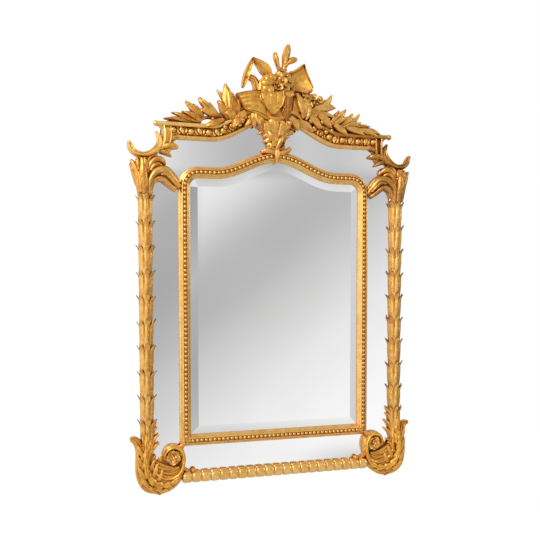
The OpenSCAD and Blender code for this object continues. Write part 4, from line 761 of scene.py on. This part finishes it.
RIGHT_LEAVES = [
    (10, 0, [(143, 1258, 8), (157, 1278, 8), (170, 1295, 1.5)]),
    (14, 0, [(150, 1252, 10), (165, 1272, 10), (181, 1291, 8), (193, 1311, 2)]),
    (18, 0, [(115, 1252, 9), (150, 1262, 14), (180, 1268, 12), (204, 1268, 2)]),
    (20, 0, [(122, 1246, 8), (160, 1245, 9), (186, 1240, 6), (202, 1232, 2)]),
    (12, 0, [(188, 1218, 9), (206, 1241, 9), (221, 1262, 2)]),
    (16, 2, [(170, 1200, 10), (198, 1221, 15), (223, 1243, 12), (244, 1266, 2)]),
    (18, 0, [(195, 1212, 9), (223, 1229, 10), (248, 1241, 2)]),
    (12, 0, [(243, 1210, 8), (270, 1228, 10), (285, 1241, 6), (296, 1254, 2)]),
    (14, 1, [(213, 1202, 8), (238, 1220, 12), (257, 1238, 8), (269, 1255, 2)]),
    (18, 0, [(228, 1202, 8), (257, 1211, 11), (279, 1218, 8), (298, 1225, 2)]),
    (12, 0, [(262, 1202, 7), (292, 1210, 9), (316, 1214, 6), (335, 1215, 1.5)]),
    (16, 0, [(292, 1194, 7), (325, 1200, 9), (350, 1198, 7), (373, 1188, 2)]),
    (26, 0, [(196, 1211, 7), (215, 1200, 10), (231, 1190, 9), (245, 1178, 2)]),
    (26, 0, [(240, 1203, 7), (266, 1199, 10), (289, 1193, 9), (308, 1182, 2)]),
    (24, 0, [(288, 1199, 6), (312, 1196, 9), (335, 1190, 7), (357, 1181, 2)]),
    (24, 0, [(140, 1240, 10), (160, 1226, 13), (176, 1212, 10), (188, 1200, 3)]),
    (26, 0, [(104, 1240, 10), (122, 1226, 13), (138, 1210, 11), (150, 1196, 3)]),
    (22, 0, [(100, 1262, 9), (116, 1248, 11), (134, 1240, 8), (150, 1238, 2)])]
for name, leaves, stem, berries in (
        ("left", LEFT_LEAVES,
         [(-366, 1190, 4, 10), (-330, 1194, 6, 12), (-290, 1199, 7, 12), (-258, 1206, 6, 12), (-230, 1212, 5, 14),
          (-195, 1208, 8, 16), (-165, 1208, 14, 16), (-135, 1220, 16, 18), (-104, 1238, 14, 18)],
         [(-180, 1181, 22, 8), (-200, 1190, 22, 6), (-146, 1197, 30, 8), (-161, 1186, 26, 6), (-124, 1206, 28, 9),
          (-136, 1216, 30, 7), (-218, 1206, 18, 6), (-112, 1216, 26, 7)]),
        ("right", RIGHT_LEAVES,
         [(366, 1188, 4, 10), (330, 1193, 7, 12), (290, 1198, 8, 12), (240, 1200, 10, 14), (200, 1206, 12, 16),
          (165, 1222, 16, 16), (135, 1240, 20, 18), (104, 1262, 24, 18)],
         [(140, 1203, 26, 9), (169, 1186, 22, 7), (152, 1216, 30, 7), (112, 1218, 26, 9), (128, 1236, 30, 6),
          (190, 1192, 22, 6), (206, 1210, 24, 5)])):
    shape = Shape()
    sprout(shape, leaves)
    for x, z, v, r in berries:
        shape.ball(x, v, z, r, 0.9, 12, 8)
    shape.band(stem, ROUND, 0.2, 4)
    shape.piece("%s_laurel" % name, PALE if name == "right" else ORNAMENT, CARVING, "%s_spray" % name)

# Centre bracket: a fan of ribs, curled leaves under it, and a pair with a drop on the inner frame
shape = Shape()
FAN = ((-30, -45, 84, 10), (-19, -30, 88, 11), (-11, -12, 91, 12), (-3, 10, 93, 12), (5, 28, 94, 10))
for roll, (x0, x1, top, w) in zip(ROLLS, FAN):
    rows = [
        [x0, 40, 6, 26, 6], [(x0 + x1) / 2, 58, 0.9 * w, 31, 7], [x1, 76, w, 36, 6], [1.05 * x1, top, 0.7 * w, 38, 4]]
    shape.frond(rows, back=18, veins=0.8, roll=0.6 * roll)
shape.fronds([
    [[-38, 60, 5, 32, 6], [-30, 48, 10, 36, 8], [-18, 34, 9, 36, 8], [-6, 22, 4, 32, 4]],
    [[12, 46, 4, 32, 6], [4, 32, 8, 36, 8], [-4, 16, 8, 34, 8], [-10, 2, 4, 28, 5]],
    [[-26, 58, 5, 14, 6], [-42, 61, 6, 15, 6], [-56, 58, 5, 14, 5], [-66, 54, 2, 12, 3]],
    [[-18, 42, 8, 20, 8], [-30, 48, 10, 22, 9], [-40, 49, 9, 21, 8], [-48, 47, 5, 18, 5]],
    [[-14, 32, 8, 20, 8], [-28, 34, 9, 22, 8], [-38, 32, 8, 21, 7], [-46, 29, 4, 18, 4]],
    [[-8, 2, 8, 18, 8], [-20, 14, 11, 21, 9], [-29, 19, 9, 20, 7], [-36, 16, 5, 17, 4]],
    [[-13, 12, 10, 28, 9], [-12, 30, 13, 33, 11], [-14, 45, 9, 32, 8], [-16, 55, 3, 29, 4]],
    [[6, 28, 8, 20, 8], [17, 45, 9, 23, 9], [26, 60, 9, 23, 8], [35, 70, 4, 20, 4]],
    [[16, 52, 6, 18, 6], [32, 63, 8, 20, 8], [46, 65, 7, 19, 7], [56, 60, 3, 16, 4]],
    [[10, 28, 7, 17, 7], [21, 39, 7, 19, 7], [31, 47, 6, 18, 6], [41, 50, 3, 15, 4]],
    [[-4, -5, 9, 18, 8], [-22, -2, 10, 18, 8], [-40, -1, 9, 16, 7], [-55, -5, 5, 13, 5]],
    [[0, -7, 9, 18, 8], [17, -5, 10, 18, 8], [33, 1, 9, 16, 7], [45, 12, 6, 14, 6]],
    [[-5, 6, 9, 22, 9], [-4, -14, 10, 23, 9], [-4, -28, 8, 23, 7], [-4, -37, 4, 22, 5]]], back=20, veins=0.4)
shape.band([[16, 38, 6, 24], [22, 25, 7, 26], [16, 12, 7, 26], [4, 6, 7, 26], [-8, 11, 5, 24]], ROUND, 0, 6)
shape.ball(33, 40, 88, 9).ball(6, 20, 23, 9)
shape.band([
    [-7, 104, 42, 28], [-7, 88, 38, 32], [-8, 70, 28, 32], [-8, 50, 23, 28], [-4, 26, 25, 20], [-4, 6, 26, 18],
    [-6, -10, 20, 16]], ROUND, CARVING_BACK, 5)
shape.boss([
    (-58, 66), (-44, 46), (-36, 24), (-33, 0), (-28, -14), (22, -14), (27, 2), (24, 24), (36, 48), (52, 66), (64, 86),
    (-62, 86)], (-4, 46), [(1.0, 0.4), (1.0, 16), (0.92, 20), (0.5, 20), (0.05, 20)])
shape.band([[-62, 86, 12, 26], [-42, 80, 15, 30], [-20, 76, 14, 30]], FLAT, 0.2, 5)
shape.shifted(0, HEAD_Z + HEAD_RISE + half_w)
shape.piece("crown_bracket", PALE, CARVING, "centre_bracket")

# Crest, from the middle of the arch at the crest board's foot: the basket and the flowers in it
shape = Shape()
b = np.radians(np.linspace(-104, 104, 121))
weave = 0.8 * np.cos(np.degrees(b) * 0.42)
shape.tube([hoop(27, 0, z, rx + weave * (z < 20), ry + weave * (z < 20), b) for z, rx, ry in (
    (-62, 23, 33), (-56, 25, 35), (-40, 28, 39), (-22, 30, 42), (-4, 32, 44), (14, 34, 46), (24, 35, 47),
    (27, 38, 49), (32, 39, 49.5), (36, 37, 47), (37, 33, 42))])
shape.shifted(0, CREST_Z).piece("basket", SHADE, CARVING, "crest_basket")

shape = Shape()
MOUND = ((20, 30), (40, 45), (60, 44), (84, 30), (104, 16), (112, 6))
a = np.linspace(0.5 * np.pi, -1.5 * np.pi, 24, endpoint=False)
shape.tube([hoop(14, 10, z, 0.8 * r, 0.7 * r, a) for z, r in MOUND])
for z, xs in ((42, (-26, -4, 18, 42)), (60, (-16, 8, 34)), (80, (0, 26)), (100, (10,))):
    r = np.interp(z, *zip(*MOUND))
    for x in xs:
        u = (x - 14) / (0.86 * r)
        v = 11 + 0.7 * r * math.sqrt(max(0.12, 1 - u * u))
        flower(shape, x + random.uniform(-2, 2), v, z + random.uniform(-3, 3), random.uniform(15, 17),
               random.uniform(0, 1.2), 0.5 * u + random.uniform(-0.3, 0.2), random.uniform(-0.1, 0.5))
for x, z in ((-15, 36), (-12, 52), (2, 68)):
    flower(shape, x, 36, z, 13, 0.3 * x, 0.2, 0.2)
for q in ([-18, 40, -36, 30, 18, 28], [54, 50, 68, 42, 18, 24], [8, 34, 2, 20, 16, 40], [34, 34, 40, 20, 16, 42],
          [40, 92, 52, 102, 14, 14], [46, 72, 60, 84, 16, 22], [22, 96, 26, 112, 14, 18]):
    shape.leaf(q, 3, 4, 1, 0.0, blunt=True)
shape.shifted(0, CREST_Z).piece("bouquet", BOUQUET_SHADE, BRIGHT, "crest_bouquet")

shape = Shape().fronds([
    [[18, 96, 4, 12, 5], [25, 126, 8, 12, 7], [29, 148, 12, 13, 7], [36, 174, 11, 13, 6], [39, 190, 5, 12, 4]],
    [[8, 96, 3, 12, 5], [1, 124, 7, 12, 6], [-5, 145, 9, 13, 6], [-8, 161, 5, 12, 4]],
    [[22, 104, 3, 12, 5], [36, 129, 6, 13, 6], [50, 140, 10, 14, 7], [62, 144, 8, 14, 6], [68, 147, 4, 13, 4]],
    [[20, 92, 6, 16, 5], [20, 110, 8, 17, 6], [22, 128, 3, 16, 3]]], back=6)
shape.shifted(0, CREST_Z).piece("sprig", ORNAMENT, CARVING, "crest_sprig")

# Ribbon that loops up on the left, and the rolled hood beside the flowers
shape = Shape().band([
    [-117, 41, 4, 14], [-109, 66, 9.5, 20], [-100, 94, 9.5, 22], [-91, 118, 7, 22], [-84, 136, 3, 20]], CHANNEL, 0, 6)
shape.band([
    [-86, 137, 2.5, 18], [-71, 127, 9, 22], [-58, 117, 14, 24], [-48, 108, 18, 26], [-39, 98, 17, 27],
    [-32, 85, 14, 26], [-26, 70, 11, 26]], CHANNEL, 0, 6)
shape.band([[-108, 71, 6, 20], [-94, 75, 9, 24], [-80, 67, 10, 28], [-72, 50, 12, 30], [-70, 34, 12, 30]], ROLL, 0, 6)
shape.frond([
    [-50, -12, 15, 24, 6], [-54, 20, 16, 27, 6], [-52, 46, 17, 28, 6], [-42, 64, 17, 28, 6], [-28, 74, 14, 27, 6],
    [-13, 77, 10, 25, 5], [0, 74, 4, 24, 4]], back=30, veins=0.5)
FOLD = ((0, 0.3, -6, 3), (0.35, 0.75, 0, 6), (0.7, 1.0, 2, 8), (0.9, 0.8, 0, 7), (1.0, 0.35, -4, 4))
for turn, length, w, v in (
        (106, 27, 8, 31), (130, 36, 9, 34), (154, 46, 11, 33), (178, 54, 11, 35), (202, 54, 12, 33),
        (226, 44, 11, 34)):
    c, s = length * math.cos(math.radians(turn)), length * math.sin(math.radians(turn))
    shape.frond([[t * c - 10, t * s + 54, k * w, v + up, crown] for t, k, up, crown in FOLD],
                back=24, veins=0.4, roll=0.2)
shape.band([[-44, -10, 18, 35], [-48, 28, 16, 38], [-42, 54, 14, 38], [-26, 68, 12, 36]], FLAT, 0, 6)
shape.shifted(0, CREST_Z).piece("drape", WARM, MOULDING, "crest_drape")

# Ruled sheet on the left with its rolled lower edge
shape = Shape().sheet([
    [[-137, 16, 28], [-112, 21, 33], [-88, 25, 34], [-52, 29, 31]],
    [[-128, 0, 31], [-105, 5, 37], [-82, 8, 37], [-48, 10, 33]],
    [[-119, -16, 31], [-97, -13, 37], [-76, -11, 38], [-46, -10, 34]],
    [[-110, -31, 27], [-90, -35, 32], [-70, -39, 34], [-42, -50, 30]]], 26, 1.7, 4.0)
shape.band([
    [-138, 16, 3, 28], [-129, 1, 4, 32], [-119, -16, 4, 32], [-110, -32, 5, 31], [-92, -38, 7, 35], [-72, -44, 9, 38],
    [-54, -52, 11, 38], [-42, -60, 9, 34]], ROUND, 0, 6)
shape.band([[-140, 17, 3, 27], [-112, 23, 3.5, 34], [-88, 27, 3.5, 37], [-60, 31, 3, 38]], ROUND, 0, 5)
shape.shifted(0, CREST_Z).piece("left_sheet", WARM, MOULDING, "crest_left_sheet")

# Lobed shield before the basket, its right edge folded
shape = Shape().boss([
    (-63, 20), (-35, 27), (-8, 30), (13, 31), (14, 12), (11, -8), (0, -27), (-11, -41), (-21, -46), (-32, -41),
    (-42, -28), (-53, -16), (-62, -6), (-69, 7)], (-26, 0),
    [(0.96, 6), (1.0, 30), (1.01, 37), (0.98, 40.5), (0.92, 41.5), (0.85, 40.5), (0.76, 41.5), (0.5, 44), (0.25, 45),
    (0.03, 45)])
shape.frond([
    [-52, 20, 11, 42, 1.5], [-47, 4, 13, 45, 2], [-41, -14, 11, 44, 2], [-34, -30, 7, 41, 1.5]], back=6, veins=0.2)
shape.frond([
    [-2, 27, 9, 42, 1.5], [0, 10, 11, 44, 2], [-3, -8, 10, 44, 2], [-9, -24, 7, 42, 1.5]], back=6, veins=0.2)
shape.ball(-27, 42, 12, 9, 0.6)
shape.frond([[-36, -50, 7, 24, 6], [-16, -57, 9, 28, 7], [4, -56, 9, 28, 7], [24, -51, 7, 26, 6]], veins=0.5)
shape.band([[10, 31, 3, 8], [13, 12, 4, 9], [9, -8, 4, 9], [0, -24, 3, 6]], ROUND, 38, 5)
shape.band([[10, -38, 5, 36], [15, -22, 7, 42], [26, -13, 7, 43], [36, -19, 6, 42], [36, -32, 4, 39]], ROUND, 0, 6)
shape.frond([[18, 26, 6, 44, 5], [32, 20, 9, 46, 6], [46, 24, 6, 42, 4]], back=8, veins=0.4)
shape.band([[-58, -46, 12, 25], [-30, -44, 20, 29], [0, -40, 18, 29], [22, -36, 9, 28]], FLAT, 0.2, 5)
shape.shifted(0, CREST_Z).piece("cartouche", WARM, MOULDING, "crest_shield")

shape = Shape().sheet([
    [[30, 92, 12], [54, 98, 13], [75, 110, 15], [89, 122, 17]],
    [[36, 80, 12], [60, 85, 12], [82, 92, 14], [100, 98, 18]],
    [[42, 62, 11], [66, 66, 11], [90, 70, 15], [110, 72, 22]],
    [[50, 44, 14], [74, 41, 18], [97, 40, 23], [118, 50, 29]]], 10, 0.5, 2.5)
shape.band([[32, 94, 4, 20], [54, 101, 5.5, 25], [75, 114, 6, 28], [91, 130, 3, 24]], ROUND, 0, 6)
shape.band([[93, 130, 3, 22], [101, 100, 4, 26], [112, 72, 4, 30], [120, 52, 4, 32]], ROUND, 0, 6)
shape.band([[52, 42, 5, 20], [76, 39, 6, 24], [98, 37, 7, 28], [118, 46, 6, 32]], ROUND, 0, 6)
shape.shifted(0, CREST_Z).piece("right_sheet", WARM, MOULDING, "crest_right_sheet")

# Leaves that spread under the crest, with a knot of flowers on the right
shape = Shape()
sprout(shape, [
    (12, 0, [(-96, -36, 8), (-118, -42, 10), (-134, -52, 6), (-147, -60, 1.5)]),
    (16, 2, [(-56, -48, 12), (-84, -46, 16), (-112, -50, 13), (-142, -66, 2)]),
    (20, 0, [(-86, -52, 8), (-97, -64, 11), (-106, -76, 8), (-114, -88, 2)]),
    (26, 0, [(-72, -34, 10), (-68, -54, 16), (-60, -70, 14), (-52, -90, 3)]),
    (24, 0, [(-88, -44, 8), (-88, -60, 11), (-84, -74, 9), (-80, -86, 2)])], 14)
shape.band([[-104, -62, 10, 14], [-66, -50, 14, 18], [-36, -46, 16, 22], [-20, -52, 14, 22]], ROUND, 0.2)
shape.ball(-124, 26, -70, 8).ball(-100, 28, -58, 7)
shape.shifted(0, CREST_Z).piece("shell_left", ORNAMENT, CARVING, "crest_left_leaves")
shape = Shape()
sprout(shape, [
    (16, 0, [(90, -44, 9), (116, -42, 12), (138, -44, 9), (156, -54, 2)]),
    (38, 0, [(60, 24, 7), (70, 6, 12), (80, -14, 15), (84, -34, 12), (80, -52, 4)]),
    (34, 0, [(84, 14, 5), (96, -4, 10), (100, -24, 11), (96, -44, 8), (92, -56, 3)]),
    (28, 0, [(40, -32, 6), (56, -36, 9), (72, -47, 8), (82, -62, 3)]),
    (30, 0, [(36, -52, 9), (50, -62, 12), (62, -76, 10), (70, -90, 2)]),
    (22, 0, [(60, -60, 10), (84, -66, 13), (104, -74, 10), (122, -90, 2)])], 14)
shape.band([[30, -50, 16, 22], [56, -38, 20, 18], [78, -4, 16, 14], [112, 4, 22, 12], [140, 2, 14, 10]], ROUND, 0.2)
shape.band([[58, 30, 12, 30], [62, 4, 13, 33], [58, -30, 13, 33], [44, -52, 14, 28]], FLAT, 0.2)
shape.band([[76, 22, 10, 10], [98, 26, 15, 12], [126, 18, 17, 10], [152, 4, 10, 8]], ROUND, 0.2)
for i, (x, z) in enumerate(((104, 20), (125, 24), (147, 17), (111, -2), (134, 0), (123, -20), (90, 34), (158, -2))):
    flower(shape, x, 22 - 3 * (i % 2), z, 13, 0.7 * i, 0.3 * (-1) ** i, 0.3)
shape.shifted(0, CREST_Z).piece("shell_right", PALE, CARVING, "crest_right_leaves")


# Stage: a floor that keeps the shadow and looks white
floor_mat, floor_tree, floor_shader = new_material("floor", Base_Color=(0.9, 0.9, 0.9, 1), Roughness=0.9)
glow = new_node(floor_tree, "Emission", Strength=1.14)
share = new_node(floor_tree, "Math", new_node(floor_tree, "LightPath").outputs["Is Camera Ray"], 0.85)
share.operation = "MULTIPLY"
surface = new_node(floor_tree, "MixShader", share.outputs[0], floor_shader.outputs[0], glow.outputs[0])
feed(floor_tree, floor_tree.nodes["Material Output"].inputs["Surface"], surface.outputs[0])
floor = bpy.data.objects.new("floor", bpy.data.meshes.new("floor"))
FLOOR_Z = -ORIGIN_H / 1000 - 0.62
floor.data.from_pydata([(x, y, FLOOR_Z) for x, y in ((-2, -2), (2, -2), (2, 2), (-2, 2))], [], [(0, 1, 2, 3)])
floor.data.materials.append(floor_mat)
bpy.context.scene.collection.objects.link(floor)

# Camera at the photograph's place. Its focal length and centre are in the photograph's pixels
PHOTO = 540
FOCAL = 752.9
CENTRE_X, CENTRE_Y = 270.0, 320.0
SENSOR = 36.0
yaw, tilt, roll = math.radians(17.69), math.radians(-3.03), math.radians(-0.03)
forward = Vector((math.sin(yaw) * math.cos(tilt), math.cos(yaw) * math.cos(tilt), math.sin(tilt)))
right = Vector((math.cos(yaw), -math.sin(yaw), 0.0))
up = right.cross(forward)
right, up = math.cos(roll) * right + math.sin(roll) * up, -math.sin(roll) * right + math.cos(roll) * up
cam = bpy.data.objects.new("camera", bpy.data.cameras.new("camera"))
cam.data.sensor_width = SENSOR
cam.data.lens = FOCAL / PHOTO * SENSOR
cam.data.shift_y = (CENTRE_Y - PHOTO / 2) / PHOTO
cam.matrix_world = Matrix((
    (right.x, up.x, -forward.x, -0.787), (right.y, up.y, -forward.y, -2.431),
    (right.z, up.z, -forward.z, 0.6897 - ORIGIN_H / 1000), (0, 0, 0, 1)))
bpy.context.scene.collection.objects.link(cam)
bpy.context.scene.camera = cam

# The room in front of the glass: a sheet of tones that the plates reflect, and softer walls round it.
# It is drawn by direction, from the camera's place mirrored in the plates. Px and pz are in the photograph's pixels
world = bpy.data.worlds.new("studio")
bpy.context.scene.world = world
world.use_nodes = True
wnt = world.node_tree
REFLECTANCE = 0.93


def grey(value):
    """Linear level of a photographed grey, as seen in a plate."""
    return (((value / 255 + 0.055) / 1.055) ** 2.4 / REFLECTANCE,) * 3


def calc(op, *values):
    node = new_node(wnt, "Math", *values)
    node.operation = op
    return node.outputs[0]


def times(*values):
    return calc("MULTIPLY", *values)


def dot(vec, other):
    node = new_node(wnt, "VectorMath", vec, other)
    node.operation = "DOT_PRODUCT"
    return node.outputs["Value"]


def step(value, low, high):
    node = new_node(wnt, "MapRange", Value=value, From_Min=low, From_Max=high)
    node.interpolation_type = "SMOOTHSTEP"
    return node.outputs["Result"]


def inside(value, low, high):
    """One between the inner two of four edges, and nothing beyond the outer two."""
    return times(step(value, *low), calc("SUBTRACT", 1.0, step(value, *high)))


def tones(source, stops, low, span):
    return ramp(wnt, source, [((a - low) / span, grey(b)) for a, b in stops])


def square(value, middle, reach):
    return calc("POWER", calc("MULTIPLY_ADD", value, 1 / reach, -middle / reach), 2.0)


ray = new_node(wnt, "TexCoord").outputs["Generated"]
ahead = calc("MAXIMUM", dot(ray, (forward.x, -forward.y, forward.z)), 0.05)
sx = calc("DIVIDE", dot(ray, (right.x, -right.y, right.z)), ahead)
sz = calc("DIVIDE", dot(ray, (up.x, -up.y, up.z)), ahead)
px = calc("MULTIPLY_ADD", sx, FOCAL, CENTRE_X)
pz = calc("MULTIPLY_ADD", sz, -FOCAL, CENTRE_Y)
slope = calc("ADD", calc("MULTIPLY_ADD", px, 0.652, -127.1), calc("MULTIPLY_ADD", pz, 0.758, -140.2))
q = calc("MULTIPLY_ADD", slope, 1 / 400, 0.25)
lit = tones(q, [(0, 238), (23, 230), (39, 217), (54, 202), (70, 189), (84, 185), (100, 185), (115, 188), (139, 203),
                (170, 218), (200, 232), (230, 240), (262, 247), (300, 252)], -100, 400)
dim = tones(q, [(-95, 158), (-40, 176), (-16, 188), (2, 178), (36, 172), (54, 170), (71, 174), (89, 181), (106, 188),
                (124, 198), (141, 206), (170, 218), (200, 232), (262, 248)], -100, 400)
top = tones(calc("MULTIPLY_ADD", px, 1 / 300, -0.4), [
    (130, 228), (170, 224), (190, 209), (215, 196), (240, 185), (265, 182), (300, 203), (340, 198), (380, 212),
    (410, 214)], 120, 300)
tone = mix(wnt, dim, lit, times(step(px, 180, 204), step(pz, 168, 182)))
tone = mix(wnt, tone, top, inside(pz, (92, 112), (165, 180)))
shade = calc("EXPONENT", times(calc("ADD", square(px, 365, 55), square(pz, 463, 16)), -1.0))
tone = mix(wnt, tone, grey(188), times(shade, 0.85))
tone = mix(wnt, tone, grey(205), times(step(px, 430, 470), 0.9))
tone = mix(wnt, tone, grey(232), step(pz, 122, 100))
parts = new_node(wnt, "SeparateXYZ", ray)
ROOM = [(0.0, (1.15, 1.15, 1.15)), (0.18, (1.08, 1.08, 1.08)), (0.34, (0.85, 0.85, 0.85)),
        (0.48, (0.60, 0.60, 0.595)), (0.64, (0.36, 0.355, 0.35)), (1.0, (0.22, 0.215, 0.21))]
wall = ramp(wnt, calc("MULTIPLY_ADD", parts.outputs["X"], 0.5, 0.5), ROOM)
wall = mix(wnt, wall, (0.85, 0.85, 0.85), times(step(parts.outputs["Z"], 0.10, 0.75), 0.6))
wall = mix(wnt, wall, (0.30, 0.29, 0.28), times(step(parts.outputs["Z"], -0.15, -0.8), 0.6))
for way, low, high, level in (((-0.80, -0.52, 0.30), 0.92, 0.97, 2.1), ((-0.42, -0.86, 0.30), 0.983, 0.993, 1.4)):
    wall = mix(wnt, wall, (level, level, level), step(dot(ray, way), low, high))
in_sheet = times(inside(px, (-10, 60), (500, 570)), inside(pz, (20, 80), (520, 600)))
in_sheet = times(in_sheet, step(ahead, 0.1, 0.4))
room_tone = mix(wnt, wall, tone, in_sheet)
soft, seen, glossy = (new_node(wnt, "Background", colour, strength).outputs[0]
                      for colour, strength in ((WHITE, 0.55), (WHITE, 1.0), (room_tone, 1.0)))
rays = new_node(wnt, "LightPath").outputs
lit_by = new_node(wnt, "MixShader", rays["Is Glossy Ray"], soft, glossy).outputs[0]
shown = new_node(wnt, "MixShader", rays["Is Camera Ray"], lit_by, seen).outputs[0]
feed(wnt, wnt.nodes["World Output"].inputs["Surface"], shown)


def lamp(name, at, target, power, size=2.0):
    data = bpy.data.lights.new(name, "AREA")
    data.shape = "SQUARE"
    data.size = size
    data.energy = power
    obj = bpy.data.objects.new(name, data)
    obj.location = at
    obj.rotation_euler = (Vector(target) - Vector(at)).to_track_quat("-Z", "Y").to_euler()
    bpy.context.scene.collection.objects.link(obj)


lamp("key", (-2.8, -2.6, 2.2), (0, 0, -0.2), 80)
lamp("fill", (3.6, -1.6, 0.9), (0, 0, -0.3), 25)

bpy.context.scene.view_settings.view_transform = "Standard"
